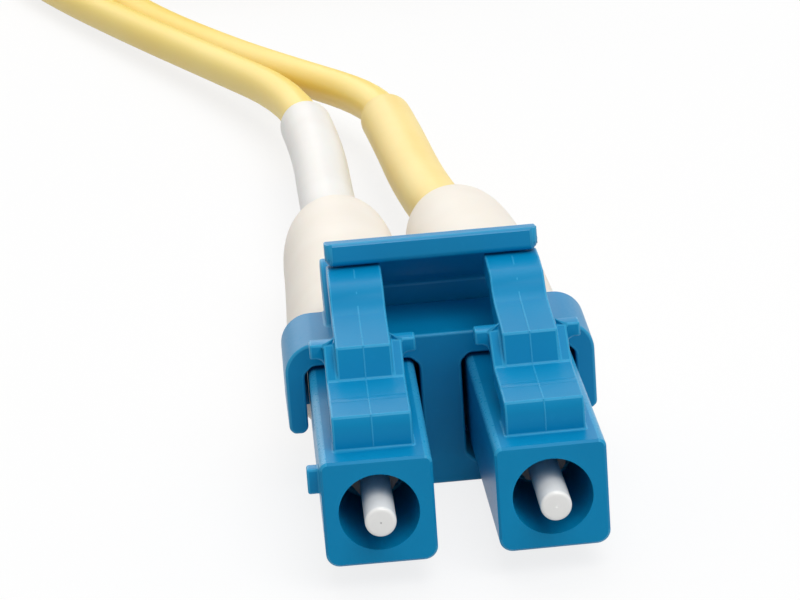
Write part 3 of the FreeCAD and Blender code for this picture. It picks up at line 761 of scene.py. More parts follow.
def loft(line: Callable[[float], Matrix], rings: Sequence[Ring], sides: int) -> BMesh:
    """Round shape whose rings follow a line, closed from its last ring back to its first.

    Args:
        line: gives the place of a ring's frame, whose Y runs along the line.
        rings: the rings, in order round the wall's section.
        sides: points in each ring.

    Returns:
        The mesh.
    """
    bm = bmesh.new()
    angles = [2 * math.pi * i / sides for i in range(sides)]
    loops = []
    for ring in rings:
        where = line(ring.along)
        spots = [where @ Vector((ring.radius * math.cos(a), 0, ring.radius * math.sin(a))) for a in angles]
        loops.append([bm.verts.new(spot * MM) for spot in spots])
    for loop, following in zip(loops, loops[1:] + loops[:1]):
        for i in range(sides):
            j = (i + 1) % sides
            bm.faces.new((loop[i], loop[j], following[j], following[i]))
    bmesh.ops.recalc_face_normals(bm, faces=bm.faces)
    return bm


def rounded_corner(start: Ring, end: Ring, turns_in: bool, steps: int) -> list[Ring]:
    """Rings between two rings along a rounded corner.

    Args:
        start: the ring before the corner.
        end: the ring after it.
        turns_in: whether the wall turns from along the path to across it.
        steps: rings that are added, the end among them.

    Returns:
        The rings.
    """
    rings = []
    for turn in (math.pi / 2 * share for share in shares(steps)):
        run, fall = math.sin(turn), 1 - math.cos(turn)
        if not turns_in:
            run, fall = fall, run
        along = start.along + (end.along - start.along) * run
        rings.append(Ring(along, start.radius + (end.radius - start.radius) * fall))
    return rings


@dataclass
class PairPiece:
    """Something that belongs to one connector."""

    end: End

    @property
    def name(self) -> str:
        """What the names of its nodes and bodies begin with."""
        return self.end.value

    @cached_property
    def place(self) -> Matrix:
        """The connector's own frame."""
        return LAYOUT.pair(self.end)

    @cached_property
    def inverse(self) -> Matrix:
        """The matrix from the row frame to its own."""
        return self.place.inverted()


@dataclass
class PlugPiece(PairPiece):
    """Something that belongs to one plug of a connector."""

    side: Side

    @property
    def name(self) -> str:
        """What the names of its nodes and bodies begin with."""
        return f"{self.end.value}_{self.side.name.lower()}"

    @cached_property
    def place(self) -> Matrix:
        """The plug's own frame."""
        return LAYOUT.plug(self.end, self.side)

    def ribbon(self, piece: Piece, line: Sequence[Triple], size: Triple, across: Triple) -> BMesh:
        """Ribbon for a piece, along a line in the plug's frame; across is where its width points."""
        data = curve(piece.name, [self.place @ Vector(point) for point in line])
        return ribbon_tree().sweep(data, piece.slot, size, self.place.to_3x3() @ Vector(across))


@dataclass
class PlugMouldings(PlugPiece):
    """Housing and latch. The mouth and the latch's root stay square, and the arm's two bends are wide."""

    mouth: float = 0.4
    slit: Pair = (2.95, 3.08)
    arm_bends: Pair = (8.3, 9.65)
    arm_top: float = 5.0
    arm_middle: float = 0.3
    mould_radius: float = 0.09
    bend_radius: float = 0.5

    def rounding(self, place: Vector) -> float:
        """Rounding of the edges at a place of the row frame.

        Args:
            place: the place.

        Returns:
            The radius.
        """
        local = self.inverse @ place
        if local.y < self.mouth or self.slit[0] < local.y < self.slit[1]:
            return 0.0
        bends = self.arm_bends[0] < local.y < self.arm_bends[1] and local.z > self.arm_top
        return self.bend_radius if bends and abs(local.x) < self.arm_middle else self.mould_radius

    def build(self) -> None:
        """Makes the housing and the latch."""
        Moulding(self.name + "_plug_housing", "blue_plastic", self.rounding).build()
        Moulding(self.name + "_latch", "blue_plastic", self.rounding, self.name + "_latch").build()


@dataclass
class FerruleTip(PlugPiece):
    """Ground ferrule with a rounded rim, a slightly domed end and the fibre's end in its middle."""

    radius: float = 0.625
    front: float = -1.09
    chamfer: float = 0.16
    seat_start: float = 3.97
    seat_radius: float = 0.4
    rear: float = 5.31
    fibre_radius: float = 0.0625
    fibre_step: float = 0.002
    dome: float = 0.012
    pole: float = 0.0001
    rim_lead: float = 0.03
    rim_shift: float = 0.01
    rim_turns_deg: Triple = (25, 50, 75)
    dome_shares: tuple[float, ...] = (1.0, 0.75, 0.5, 0.25)
    sides: int = 56

    def build(self) -> None:
        """Makes the ferrule, which replaces its solid."""
        flat = self.radius - self.chamfer
        sunk = self.front + self.fibre_step
        rings = [
            Ring(self.rear, self.pole), Ring(self.rear, self.seat_radius),
            Ring(self.seat_start, self.seat_radius), Ring(self.seat_start, self.radius),
            Ring(self.front + self.chamfer + self.rim_lead, self.radius),
        ]
        for turn in map(math.radians, self.rim_turns_deg):
            along = self.front + self.chamfer * (1 - math.sin(turn)) + self.rim_shift
            rings.append(Ring(along, flat + self.chamfer * math.cos(turn)))
        for share in (*self.dome_shares, self.fibre_radius / flat):
            rings.append(Ring(self.front + self.dome * share * share, flat * share))
        rings += [Ring(sunk, self.fibre_radius - self.fibre_step), Ring(sunk, self.pole)]
        bm = loft(lambda y: self.place @ Matrix.Translation((0, y, 0)), rings, self.sides)
        bmesh.ops.holes_fill(bm, edges=bm.edges)
        bmesh.ops.remove_doubles(bm, verts=bm.verts, dist=MERGE / 10)
        node = self.name + "_ferrule"
        Piece(node + "_ground", "white_ceramic", node, node).shape(bm, sharp_deg=40)


@dataclass
class Boot(PlugPiece):
    """Rubber boot: a bell behind the clip whose rear leans with the cord and closes on the marker sleeve."""

    start: float = 15.35
    length: float = 18.6
    shoulder: float = 13.0
    radius: float = 3.0
    shoulder_radius: float = 2.74
    end_radius: float = 2.0
    front_round: float = 0.35
    swell: float = 0.015
    rear_round: float = 0.12
    lip: Pair = (0.08, 0.1)
    bend_start: float = 24.2
    bend_length: float = 3.0
    bore_front: float = 1.88
    bore_rear: float = 1.5
    bore_reach: float = 6.0
    bore_step: float = 1.0
    early_fall: float = 0.55
    late_fall: float = 0.45
    rear_crowding: float = 1.25
    front_steps: int = 5
    bell_steps: int = 10
    rear_steps: int = 12
    lip_steps: int = 4
    sides: int = 64

    @property
    def lean_deg(self) -> float:
        """How far the boot leans to the left with its cord."""
        return {"near_left": 0.7, "near_right": 3.4, "far_left": 0.8, "far_right": 1.8}[self.name]

    def axis(self, station: float) -> Matrix:
        """Frame on the boot's axis, which leans past its bend.

        Args:
            station: how far along the axis it is.

        Returns:
            The frame, whose Y runs along the axis.
        """
        past = station - self.bend_start
        if past <= 0:
            return self.place @ Matrix.Translation((0, station, 0))
        lean = math.radians(self.lean_deg)
        radius = self.bend_length / lean
        angle = lean * min(past / self.bend_length, 1)
        beyond = max(past - self.bend_length, 0)
        x = radius * math.cos(angle) - radius - beyond * math.sin(angle)
        y = self.bend_start + radius * math.sin(angle) + beyond * math.cos(angle)
        return self.place @ Matrix.Translation((x, y, 0)) @ Matrix.Rotation(angle, 4, "Z")

    def rings(self) -> list[Ring]:
        """Rings of the boot's wall, from its front face back over its outside and in along its bore.

        Returns:
            The rings.
        """
        end = self.start + self.length
        bell = self.start + self.front_round
        shoulder = self.start + self.shoulder
        rings = [Ring(self.start, self.bore_front), Ring(self.start, self.radius - self.front_round)]
        rings += rounded_corner(rings[-1], Ring(bell, self.radius), False, self.front_steps)
        for share in shares(self.bell_steps):
            fall = (self.radius - self.shoulder_radius) * share - self.swell * math.sin(math.pi * share)
            rings.append(Ring(bell + (self.shoulder - self.front_round) * share, self.radius - fall))
        narrowing = self.shoulder_radius - self.end_radius - self.rear_round
        for share in shares(self.rear_steps):
            fall = self.early_fall * (1 - math.cos(math.pi / 2 * share)) + self.late_fall * share**4
            along = shoulder + (end - shoulder) * (1 - (1 - share) ** self.rear_crowding)
            rings.append(Ring(along, self.shoulder_radius - narrowing * fall))
        rim = Ring(end + self.lip[0], self.bore_rear + self.lip[1])
        rings += rounded_corner(rings[-1], rim, True, self.lip_steps)
        inside = (end - self.lip[1], end - self.bore_reach, self.bend_start + self.bore_step)
        rings += [Ring(along, self.bore_rear) for along in inside]
        return rings + [Ring(self.bend_start, self.bore_front)]

    def build(self) -> None:
        """Makes the boot, which replaces its solid."""
        node = self.name + "_boot"
        bm = loft(self.axis, self.rings(), self.sides)
        Piece(node + "_skin", "ivory_rubber", stands_for=node).shape(bm, sharp_deg=50)


@dataclass
class PartingLine(PlugPiece):
    """Fine raised line that the mould leaves along the middle of the root block, the latch and its arm."""

    root: tuple[Pair, ...] = ((1.2, 2.3), (1.2, 3.11), (1.42, 3.56), (2.98, 3.638))
    arm: tuple[Pair, ...] = (
        (3.04, 3.64), (4.9, 3.722), (5.35, 4.98), (8.4, 5.328), (8.8, 5.52), (9.2, 5.92), (9.6, 6.12),
        (10.6, 6.31), (10.9, 6.31),
    )
    size: Triple = (0.06, 0.035, 0.008)

    def build(self) -> None:
        """Makes the parting line, in two pieces."""
        for label, line, body in (("root", self.root, FIXED_BODY), ("arm", self.arm, self.name + "_latch")):
            piece = Piece(f"{self.name}_parting_line_{label}", "blue_plastic", body)
            bm = self.ribbon(piece, [(0.0, y, z) for y, z in line], self.size, (1.0, 0.0, 0.0))
            bmesh.ops.recalc_face_normals(bm, faces=bm.faces)
            # all of the ridge's faces are narrow, so the whole ridge is painted pale as a highlight
            piece.shape(bm)


@dataclass
class PocketLip(PlugPiece):
    """Thin lip at the rear of one of the clip's pockets, which closes its gap round the plug.

    It is open at the bottom, from the outer wall's foot to a place on the pocket's floor.
    """

    station: float = 13.35
    reach: float = 2.31
    corner: float = 0.35
    foot: float = -0.42
    floor_end: float = 1.7
    size: Triple = (0.7, 0.17, 0.03)

    def build(self) -> None:
        """Makes the lip."""
        reach, inset = self.reach, self.reach - self.corner
        line = [
            (reach, self.foot), (reach, inset), (inset, reach), (-inset, reach), (-reach, inset),
            (-reach, -inset), (-inset, -reach), (self.floor_end, -reach),
        ]
        middle = self.station + self.size[0] / 2
        piece = Piece(self.name + "_pocket_lip", "blue_clip_plastic")
        points = [(self.side.value * x, middle, z) for x, z in line]
        piece.shape(self.ribbon(piece, points, self.size, (0.0, 1.0, 0.0)))


@dataclass
class RootSkin(PlugPiece):
    """The latch's skin round its root, which lies over the root block's end and hides the slit."""

    station: float = 3.02
    top: float = 3.64
    half: float = 1.585
    drop: float = 0.82
    corner: float = 0.1
    corner_cut: float = 0.03
    rise_deg: float = 2.5
    size: Triple = (0.42, 0.008, 0.003)

    def build(self) -> None:
        """Makes the skin."""
        cut = self.corner_cut
        left = [(self.half, -self.drop), (self.half, -self.corner), (self.half - cut, -cut)]
        left.append((self.half - self.corner, 0.0))
        line = [(-x, z) for x, z in left] + left[::-1]
        rise = math.radians(self.rise_deg)
        piece = Piece(self.name + "_root_skin", "blue_plastic", self.name + "_latch")
        points = [(x, self.station, self.top + z) for x, z in line]
        bm = self.ribbon(piece, points, self.size, (0.0, math.cos(rise), math.sin(rise)))
        piece.shape(bm, rims=False)


@dataclass
class Clip(PairPiece):
    """The clip, whose two outer walls end in a fuller round than in its solid."""

    radius: float = 0.12
    wall_foot: float = -0.54
    wall: Pair = (5.685, 6.485)
    cut: float = 0.35
    leg: float = 0.2
    near: float = 0.01

    def fuller_foot(self, place: Vector) -> Vector:
        """Place that a point of the clip moves to.

        Args:
            place: where it is.

        Returns:
            Where it goes.
        """
        local = self.inverse @ place
        inner, outer = self.wall
        x, z = abs(local.x), local.z - self.wall_foot
        if x < inner - self.near or z > self.cut + self.near:
            return place
        if z > self.cut - self.near:
            local.z = self.wall_foot + self.leg
        elif x < inner + self.cut + self.near:
            local.x = math.copysign(inner + self.leg, local.x)
        else:
            local.x = math.copysign(outer - self.leg, local.x)
        return self.place @ local

    def build(self) -> None:
        """Makes the clip."""
        node = self.name + "_duplex_clip"
        Moulding(node, "blue_clip_plastic", lambda place: self.radius, reshape=self.fuller_foot).build()


@dataclass
class Trigger(PairPiece):
    """The trigger. Its bar is lower and rounder than in its solid and leans back, over a lower plate."""

    radius: float = 0.12
    bar_radius: float = 0.29
    bar_rear_radius: float = 0.2
    joint_radius: float = 0.04
    slack: float = 0.8
    bar_span: Pair = (10.8, 12.0)
    bar_rear: float = 12.4
    rear_edge_height: float = 7.15
    bar_end: float = 4.16
    front: float = 10.95
    bottom: float = 6.41
    top: float = 7.52
    lean: float = 0.2
    lean_reach: float = 0.8
    bar_top_from: float = 7.38
    bar_drop: float = 0.15
    plate_start: float = 12.19
    plate_top_from: float = 6.7
    plate_half: float = 3.66
    plate_drop: float = 0.32
    root_outline: tuple[Pair, ...] = (
        (14.46, 4.2), (14.46, 3.12), (14.8, 3.12), (15.2, 3.6), (15.5, 4.3), (15.1, 4.75),
    )
    root_half: float = 3.6
    root_round: float = 0.06

    def rounding(self, place: Vector) -> float:
        """Rounding of the edges at a place of the row frame.

        Args:
            place: the place.

        Returns:
            The radius, which is wider along the bar.
        """
        local = self.inverse @ place
        if self.bar_span[0] < local.y < self.bar_span[1]:
            return self.bar_radius
        if self.bar_span[1] < local.y < self.bar_rear:
            on_bar = local.z > self.rear_edge_height or abs(local.x) > self.bar_end
            return self.bar_rear_radius if on_bar else self.joint_radius
        return self.radius

    def lowered(self, place: Vector) -> Vector:
        """Place that a point of the trigger moves to.

        Args:
            place: where it is.

        Returns:
            Where it goes.
        """
        local = self.inverse @ place
        near = 1.0 - (local.y - self.front) / self.lean_reach
        if near > 0.0 and local.z > self.bottom:
            local.y += self.lean * min(near, 1.0) * (local.z - self.bottom) / (self.top - self.bottom)
        on_plate = local.z > self.plate_top_from and local.y > self.plate_start
        if local.z > self.bar_top_from:
            local.z -= self.bar_drop
        elif on_plate and abs(local.x) < self.plate_half:
            local.z -= self.plate_drop
        return self.place @ local

    def root(self) -> None:
        """Makes the web under the trigger's pin, which closes the way in behind the clip's roof."""
        bm = bmesh.new()
        ends = [
            [bm.verts.new((self.place @ Vector((x, y, z))) * MM) for y, z in self.root_outline]
            for x in (-self.root_half, self.root_half)
        ]
        left, right = ends
        for i in range(len(left)):
            j = (i + 1) % len(left)
            bm.faces.new((left[i], left[j], right[j], right[i]))
        for end in ends:
            bm.faces.new(end)
        bmesh.ops.recalc_face_normals(bm, faces=bm.faces)
        bmesh.ops.bevel(
            bm, geom=list(bm.edges), offset=self.root_round * MM, segments=2, affect="EDGES", profile=0.5
        )
        body = self.name + "_trigger"
        Piece(body + "_root", "blue_clip_plastic", body).shape(bm)

    def build(self) -> None:
        """Makes the trigger and the web under its pin."""
        node = self.name + "_trigger"
        Moulding(node, "blue_clip_plastic", self.rounding, node, self.lowered, self.slack).build()
        self.root()


# Control points of the jackets from each plug to the hank
ROUTES = {
    "near_left": (
        (-3.172, 8.42, 3.34), (-3.105, 13.9, 3.34), (-3.09, 21.0, 3.34), (-3.26, 27.8, 3.33),
        (-3.2, 35.4, 3.3), (-3.95, 47.6, 2.8), (-7.95, 58.9, 1.9), (-12.4, 68.9, 1.6),
        (-17.1, 79.9, 1.35), (-19.4, 85.8, 1.45), (-20.0, 91.8, 1.57),
    ),
    "near_right": (
        (3.172, 8.42, 3.34), (3.105, 13.9, 3.34), (2.65, 20.9, 3.34), (1.5, 28.4, 3.33), (0.98, 37.2, 3.3),
        (0.42, 45.2, 3.0), (-3.75, 54.4, 2.2), (-7.4, 64.2, 1.15), (-11.8, 73.2, 1.06), (-14.9, 81.0, 1.35),
        (-17.7, 85.6, 3.45), (-20.0, 91.6, 3.77),
    ),
    "far_left": (
        (3.428, 104.42, 12.75), (3.491, 109.9, 12.75), (3.565, 117.2, 12.75), (3.48, 125.4, 12.75),
        (3.6, 132.0, 12.75), (3.5, 140.1, 12.7), (0.35, 145.6, 12.3), (-5.1, 148.8, 11.5),
        (-11.4, 148.7, 10.5), (-16.85, 145.6, 9.45), (-20.0, 140.15, 8.32),
    ),
    "far_right": (
        (9.772, 104.42, 12.75), (9.697, 109.9, 12.75), (9.468, 117.3, 12.75), (8.99, 125.3, 12.75),
        (8.9, 132.2, 12.75), (9.0, 140.2, 12.5), (5.0, 147.1, 11.5), (-1.8, 151.0, 10.2), (-9.4, 151.1, 8.8),
        (-16.1, 147.2, 7.3), (-20.0, 140.2, 6.12),
    ),
}


@dataclass(frozen=True)
class Hank:
    """The hank: long turns in along its lower layer, up a layer and out again, drawn in at the waist."""

    middle_x: float = -3.5
    near_y: float = 99.6
    far_y: float = 131.8
    inner_reach: float = 9.75
    step: float = 2.7
    waist_draw: float = 3.2
    layer_step: float = 4.55
    lanes: int = 6
    low: float = 2.67
    straight: float = 2.05
    turn_points: int = 8
    climb: tuple[float, ...] = (0.015, 0.25, 0.75, 0.985)

    def lane_x(self, lane: int, draw: float = 0.0) -> float:
        """Middle of a run; even lanes are on the right and odd ones on the left."""
        reach = self.inner_reach + self.step * lane / 2 - draw
        return self.middle_x + (-reach if lane % 2 else reach)

    def half_turn(self, start_x: float, end_x: float, y: float, bulge: int) -> list[Pair]:
        """Control points of the half circle between two runs, outside it by what its curve needs.

        Args:
            start_x: middle of the run that it leaves.
            end_x: middle of the run that it reaches.
            y: where both runs end.
            bulge: 1 or -1, the way along Y that it goes round.

        Returns:
            The points, as X and Y.
        """
        centre = (start_x + end_x) / 2
        reach = (start_x - centre) / math.cos(math.pi / 2 / self.turn_points)
        angles = [math.pi * (i + 0.5) / self.turn_points for i in range(self.turn_points)]
        return [(centre + reach * math.cos(a), y + bulge * abs(reach) * math.sin(a)) for a in angles]

    def run(self, lane: int) -> list[Pair]:
        """Control points of one run, in and out again round its two bends on each side of the waist.

        Args:
            lane: the run's lane.

        Returns:
            The points, as X and Y.
        """
        half = (self.far_y - self.near_y) / 2
        turn = 2 * math.atan2(self.waist_draw, half)
        reach = half / (2 * math.sin(turn)) * math.tan(turn / 2)
        x, waist = self.lane_x(lane), self.lane_x(lane, self.waist_draw)
        places = [(x, reach), (waist, half - reach), (waist, half + reach), (x, 2 * half - reach)]
        start, way = (self.near_y, 1) if lane % 2 else (self.far_y, -1)
        return [(px, start + way * along) for px, along in places]

    def points(self, lift: float) -> list[Vector]:
        """Control points of one strand through the whole hank.

        Args:
            lift: height of the strand above the flat cord's middle line.

        Returns:
            The points, in order from the entry to the exit.
        """
        inwards = list(range(self.lanes - 1, -1, -1))
        order = inwards + inwards[-2::-1]
        outermost = self.lane_x(self.lanes - 1)
        low = self.low + lift
        points = [Vector((outermost, self.near_y - self.straight, low))]
        for index, lane in enumerate(order):
            level = low + self.layer_step * (index >= self.lanes)
            if index:
                y, bulge = (self.near_y, -1) if lane % 2 else (self.far_y, 1)
                turn = self.half_turn(self.lane_x(order[index - 1]), self.lane_x(lane), y, bulge)
                points += [Vector((*place, level)) for place in turn]
            climb = self.climb if index == self.lanes - 1 else (0, 0, 0, 0)
            points += [Vector((*p, level + self.layer_step * c)) for p, c in zip(self.run(lane), climb)]
        return points + [Vector((outermost, self.far_y + self.straight, low + self.layer_step))]


HANK = Hank()


class Path:
    """Points along a line, in metres, with frames between them that do not twist."""

    def __init__(self, points: Sequence[Vector]) -> None:
        """Measures the line.

        Args:
            points: its points.
        """
        self.points = points
        self.marks = [0.0]
        for a, b in zip(points, points[1:]):
            self.marks.append(self.marks[-1] + (b - a).length)

    def frame(self, mark: float) -> Matrix:
        """Frame on the line.

        Args:
            mark: how far along the line it is.

        Returns:
            The frame, whose Y runs along the line and whose Z points up.
        """
        mark = min(max(mark * MM, MERGE / 2), self.marks[-1] - MERGE / 2)
        i = max(k for k, m in enumerate(self.marks[:-1]) if m <= mark)
        share = (mark - self.marks[i]) / (self.marks[i + 1] - self.marks[i])
        back, here, there = self.points[max(i - 1, 0)], self.points[i], self.points[i + 1]
        ahead = self.points[min(i + 2, len(self.points) - 1)]
        along = (there - back).normalized().lerp((ahead - here).normalized(), share).normalized()
        across = along.cross(Vector((0, 0, 1))).normalized()
        turn = Matrix((across, along, across.cross(along))).transposed().to_4x4()
        return Matrix.Translation(here.lerp(there, share) / MM) @ turn

    def mark_at_y(self, y: float) -> float:
        """How far along the line it first passes a Y.

        Args:
            y: the Y.

        Returns:
            The distance from the line's start.
        """
        for i, (a, b) in enumerate(zip(self.points, self.points[1:])):
            if (a.y - y * MM) * (b.y - y * MM) <= 0:
                share = abs(a.y - y * MM) / max(abs(b.y - a.y), 1e-12)
                return (self.marks[i] + (self.marks[i + 1] - self.marks[i]) * share) / MM
        return 0.0


@dataclass
class MarkerSleeve:
    """Soft sleeve that grips a jacket behind its boot."""

    node: str
    slot: str
    path: Path
    start: float
    end: float
    radius: float = 1.38
    bore: float = 1.04
    mouth_gap: float = 0.03
    rim_round: float = 0.12
    rim_steps: int = 3
    outside_steps: int = 30
    bore_steps: int = 10
    sides: int = 48

    def build(self) -> Object:
        """Makes the sleeve, which replaces its solid.

        Returns:
            The piece.
        """
        lip, length = self.rim_round, self.end - self.start
        rings = [Ring(self.start, self.bore), Ring(self.start, self.radius - lip)]
        rings += rounded_corner(rings[-1], Ring(self.start + lip, self.radius), False, self.rim_steps)
        steps = shares(self.outside_steps)[:-1]
        outside = [self.start + lip + (length - 2 * lip) * share for share in steps]
        rings += [Ring(along, self.radius) for along in outside + [self.end - lip]]
        rings += rounded_corner(rings[-1], Ring(self.end, self.radius - lip), True, self.rim_steps)
        rings.append(Ring(self.end, self.bore + self.mouth_gap))
        rings += [Ring(self.end - length * share, self.bore) for share in shares(self.bore_steps)[:-1]]
        bm = loft(self.path.frame, rings, self.sides)
        return Piece(self.node + "_skin", self.slot, stands_for=self.node).shape(bm, sharp_deg=50)


@dataclass(frozen=True)
class Jacket:
    """One round jacket with its two marker sleeves, from a near plug through the hank to a far plug.

    A sleeve runs between two places along Y, the one nearer its boot first.
    """

    name: str
    plugs: tuple[str, str]
    lift: float
    length: float
    exit: Triple
    sleeve_slot: str
    sleeve_spans: tuple[Pair, Pair]
    radius: float = 1.025

    def curve(self, name: str, radius: float) -> bpy.types.Curve:
        """Curve through the jacket's control points.

        Args:
            name: the curve's name.
            radius: radius of its tube, or 0 for the bare line.

        Returns:
            The curve.
        """
        start, finish = ([Vector(point) for point in ROUTES[plug]] for plug in self.plugs)
        data = curve(name, start + HANK.points(self.lift) + finish[::-1], "NURBS", 6)
        data.bevel_depth = radius * MM
        data.bevel_resolution = 5
        data.use_fill_caps = True
        return data

    def line(self) -> list[Vector]:
        """Reads the jacket's middle line from its own curve.

        Returns:
            Its points, in metres.
        """
        bm = settled(placed(self.name + "_line", self.curve(self.name + "_line", 0.0)))
        points = [vert.co.copy() for vert in bm.verts]
        bm.free()
        return points

    def sleeve(self, end: End, line: list[Vector]) -> Object:
        """Makes the marker sleeve at one end.

        Args:
            end: the connector that it is at.
            line: points along the jacket's middle, in metres.

        Returns:
            The piece.
        """
        index = list(End).index(end)
        path = Path(line[::-1] if index else line)
        start, finish = (path.mark_at_y(y) for y in self.sleeve_spans[index])
        node = self.plugs[index] + "_marker_sleeve"
        return MarkerSleeve(node, self.sleeve_slot, path, start, finish).build()

    def build(self) -> Object:
        """Makes the jacket."""
        return Piece(self.name, "yellow_jacket").wear(self.curve(self.name, self.radius))


@dataclass
class TwinCord:
    """Both jackets, their marker sleeves, the thin web between them and all that goes with the cord."""

    lower: Jacket = Jacket(
        "jacket_lower", ("near_left", "far_right"), -1.1, 953.0, (-3.10, 21.6, 3.34), "white_sleeve",
        ((17.45, 41.5), (113.6, 136.2)),
    )
    upper: Jacket = Jacket(
        "jacket_upper", ("near_right", "far_left"), 1.1, 947.0, (2.55, 21.6, 3.34), "yellow_sleeve",
        ((17.4, 41.2), (113.6, 136.0)),
    )
    web_size: Triple = (1.1, 0.5, 0.05)

    def build(self) -> None:
        """Makes the cord."""
        jackets = (self.lower, self.upper)
        made = [jacket.build() for jacket in jackets]
        lines = [jacket.line() for jacket in jackets]
        sleeves = {end: [jacket.sleeve(end, line) for jacket, line in zip(jackets, lines)] for end in End}
        for piece, jacket in zip(made, jackets):
            near, far = jacket.plugs
            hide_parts(near + "_jacket", far + "_jacket", "cord_hank")
        for piece, jacket, sleeve in zip(made, jackets, sleeves[End.NEAR]):
            carried = [jacket.plugs[1]]
            if jacket is self.lower:
                carried += ["far_duplex", "far_trigger"]
            2 * jacket.radius * MM
            [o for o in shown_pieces() if o.name.startswith(tuple(carried))] + [sleeve]
        self.web()

    def web(self) -> None:
        """Makes the thin web that joins the two jackets through the hank."""
        line = curve("web_line", HANK.points(0.0), "NURBS", 4)
        bm = ribbon_tree().sweep(line, "yellow_jacket", self.web_size, (0.0, 0.0, 1.0))
        Piece("cord_web", "yellow_jacket").shape(bm, sharp_deg=50, rims=False)


@dataclass
class Strap:
    """Hook-and-loop strap round the hank's waist, with its free end lying on top."""

    left: float = -18.57
    right: float = 10.23
    low: float = 0.25
    high: float = 9.62
    corner: float = 0.8
    corner_steps: int = 6
    middle_y: float = 115.7
    size: Triple = (5.9, 0.4, 0.12)
    flap: Pair = (-17.2, -2.5)
    flap_lift: float = 0.42
    tip_lift: float = 4.0
    tip_share: float = 0.75
    flap_steps: int = 12
    edge_slope: float = 0.5
    floor_slope: float = 0.3
    loops_per_mm2: float = 3.2
    loop_radius: float = 0.07
    thread: float = 0.012
    loop_seed: int = 3

    def band(self) -> list[Vector]:
        """Middle line of the band.

        Returns:
            Its points, with each of its four bends in steps.
        """
        points = []
        left, right = self.left + self.corner, self.right - self.corner
        low, high = self.low + self.corner, self.high - self.corner
        for quarter, (x, z) in enumerate(((right, high), (left, high), (left, low), (right, low))):
            for step in range(self.corner_steps + 1):
                turn = math.pi / 2 * (quarter + step / self.corner_steps)
                reach = Vector((math.cos(turn), 0, math.sin(turn))) * self.corner
                points.append(Vector((x, self.middle_y, z)) + reach)
        return points

    def end_flap(self) -> list[Vector]:
        """Middle line of the free end.

        Returns:
            Its points, which lie on the band and lift a little at the tip.
        """
        start, end = self.flap
        points = []
        for share in [0.0] + shares(self.flap_steps):
            lift = self.flap_lift + self.tip_lift * max(0.0, share - self.tip_share) ** 2
            points.append(Vector((start + (end - start) * share, self.middle_y, self.high + lift)))
        return points

    def is_inner(self, face: bmesh.types.BMFace) -> bool:
        """Tells the faces that carry no loops.

        Args:
            face: a face of the strap.

        Returns:
            Whether it looks inwards, along the strap's edges or down at the floor.
        """
        middle = Vector(((self.left + self.right) / 2, self.middle_y, (self.low + self.high) / 2))
        outward = (face.calc_center_median() / MM - middle).dot(face.normal) > 0
        sideways, down = abs(face.normal.y), -face.normal.z
        return sideways > self.edge_slope or down > self.floor_slope or not outward

    def strip(self, name: str, line: list[Vector], closed: bool) -> None:
        """Makes one strip of the strap and the loops on it.

        Args:
            name: the strip's name.
            line: its middle line.
            closed: whether it is the band that goes all round, which replaces the strap's solid.
        """
        data = curve(name, line)
        data.splines[0].use_cyclic_u = closed
        bm = ribbon_tree().sweep(data, "tie_plastic", self.size, (0.0, 1.0, 0.0))
        bmesh.ops.recalc_face_normals(bm, faces=bm.faces)
        upper = bm.copy()
        inner = [face for face in upper.faces if self.is_inner(face)]
        bmesh.ops.delete(upper, geom=inner, context="FACES")
        Piece(name, "tie_plastic", stands_for="hank_tie" if closed else "").shape(bm, sharp_deg=50)
        loops = Pile().grow(
            mesh_of(upper, name + "_upper"), "tie_plastic", density=self.loops_per_mm2 / MM**2,
            size=self.loop_radius * MM, thread=self.thread * MM, seed=self.loop_seed,
        )
        Piece(name + "_loops", "tie_plastic").wear(mesh_of(loops, name + "_loops"))

    def build(self) -> None:
        """Makes the strap."""
        self.strip("strap_band", self.band(), True)
        self.strip("strap_end", self.end_flap(), False)


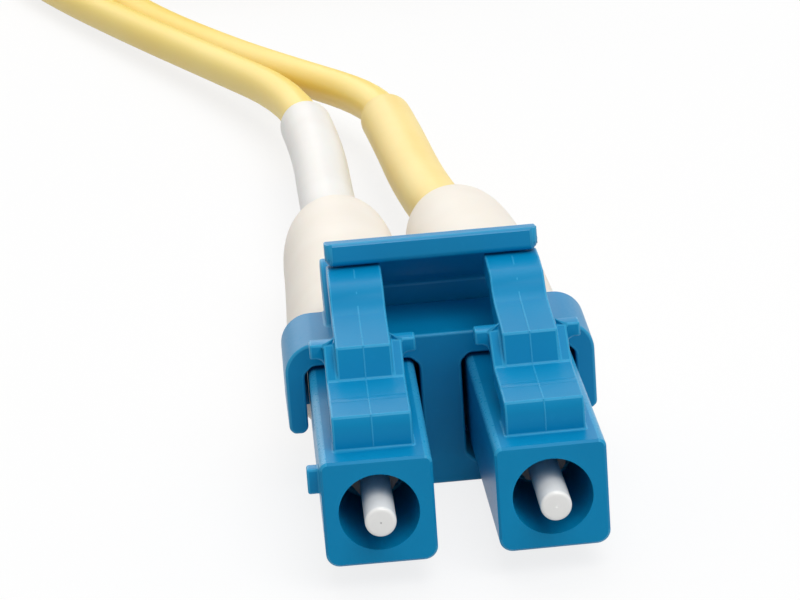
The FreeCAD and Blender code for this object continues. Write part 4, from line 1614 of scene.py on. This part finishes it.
@dataclass(frozen=True)
class Studio:
    """Pale floor, soft light and the photograph's camera. The floor and lamps are in metres and watts."""

    floor_half: float = 1.6
    floor_grey: float = 0.6
    seen_grey: float = 0.95
    floor_glow: float = 0.82
    sky_light: float = 0.38
    lamps: tuple[tuple[str, Triple, float, float], ...] = (
        ("key_lamp", (0.2, -0.4, 0.7), 0.6, 3.5),
        ("top_lamp", (0.1, 0.35, 0.8), 0.7, 2.3),
        ("rear_lamp", (-0.2, 0.75, 0.34), 0.5, 1.0),
    )
    lit_place: Triple = (0.0, 0.02, 0.0)
    lens: float = 162.0
    sensor: float = 36.0
    camera_place: Triple = (-8.754, -142.056, 58.600)
    right: Triple = (0.99489699, -0.07555353, -0.06687041)
    down: Triple = (-0.08834884, -0.3322702, -0.93903727)
    forward: Triple = (0.04872854, 0.94015328, -0.33724968)

    def seen_directly(self, graph: Graph) -> Value:
        """1 for rays from the camera, and those mirrored or let through by the object.

        Args:
            graph: the tree that asks.

        Returns:
            The value.
        """
        seen = graph.node("ShaderNodeLightPath", out="Is Camera Ray")
        for other in ("Is Glossy Ray", "Is Transmission Ray"):
            seen = seen + graph.node("ShaderNodeLightPath", out=other)
        return graph.node("ShaderNodeMath", {"operation": "MINIMUM"}, {0: seen, 1: 1.0})

    def floor(self) -> None:
        """Lays the floor."""
        half = self.floor_half
        mesh = bpy.data.meshes.new("floor")
        corners = [(-half, -half, 0), (half, -half, 0), (half, half, 0), (-half, half, 0)]
        mesh.from_pydata(corners, [], [(0, 1, 2, 3)])
        r = Recipe("floor_paint")
        seen = self.seen_directly(r)
        colour = r.mix(grey(self.floor_grey), grey(self.seen_grey), seen)
        lit = r.node("ShaderNodeBsdfDiffuse", None, {"Color": colour})
        glow = r.node("ShaderNodeEmission", None, {"Color": grey(1.0), "Strength": 1.0})
        both = r.node("ShaderNodeMixShader", None, {0: seen * self.floor_glow, 1: lit, 2: glow})
        mesh.materials.append(r.surface(both))
        placed("floor", mesh)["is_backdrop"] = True

    def hang_lamps(self) -> None:
        """Hangs the soft square lamps, which face the object."""
        for name, place, size, power in self.lamps:
            light = bpy.data.lights.new(name, "AREA")
            light.shape = "SQUARE"
            light.size = size
            light.energy = power
            lamp = placed(name, light)
            lamp.location = place
            lamp.rotation_mode = "QUATERNION"
            lamp.rotation_quaternion = (Vector(self.lit_place) - Vector(place)).to_track_quat("-Z", "Y")

    def sky(self) -> None:
        """Sets the world: white where it is seen, a plain grey where it lights."""
        world = bpy.data.worlds.new("studio")
        world.use_nodes = True
        graph = Graph(world.node_tree)
        strength = self.seen_directly(graph) * (1 - self.sky_light) + self.sky_light
        back = graph.node("ShaderNodeBackground", None, {"Color": grey(1.0), "Strength": strength})
        graph.node("ShaderNodeOutputWorld", None, {"Surface": back})
        bpy.context.scene.world = world

    def camera(self) -> None:
        """Sets up the camera at the photograph's angle."""
        data = bpy.data.cameras.new("camera")
        data.lens = self.lens
        data.sensor_width = self.sensor
        data.clip_start = 0.005
        data.clip_end = 20.0
        right, down, forward = (Vector(v).normalized() for v in (self.right, self.down, self.forward))
        turn = Matrix((right, -down, -forward)).transposed().to_4x4()
        made = placed("camera", data)
        made.matrix_world = Matrix.Translation(Vector(self.camera_place) * MM) @ turn
        bpy.context.scene.camera = made

    def build(self) -> None:
        """Makes the floor, lamps, world and camera."""
        self.floor()
        self.hang_lamps()
        self.sky()
        self.camera()
        bpy.context.scene.view_settings.view_transform = "Standard"


def paint_hidden_nodes() -> None:
    """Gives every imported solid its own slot's finish."""
    for part in frame["record"]["subparts"]:
        data = NODES[part["node"]].data
        data.materials.clear()
        data.materials.append(paint(part["material_slot"]))


def main() -> None:
    """Builds the sub-assemblies in order."""
    logging.basicConfig(level=logging.INFO, format="%(name)s %(message)s")
    Studio().build()
    paint_hidden_nodes()
    for end in End:
        for side in Side:
            for plug_piece in (PlugMouldings, FerruleTip, Boot, PartingLine, PocketLip, RootSkin):
                plug_piece(end, side).build()
        Clip(end).build()
        Trigger(end).build()
    TwinCord().build()
    Strap().build()


if __name__ == "__main__":
    main()
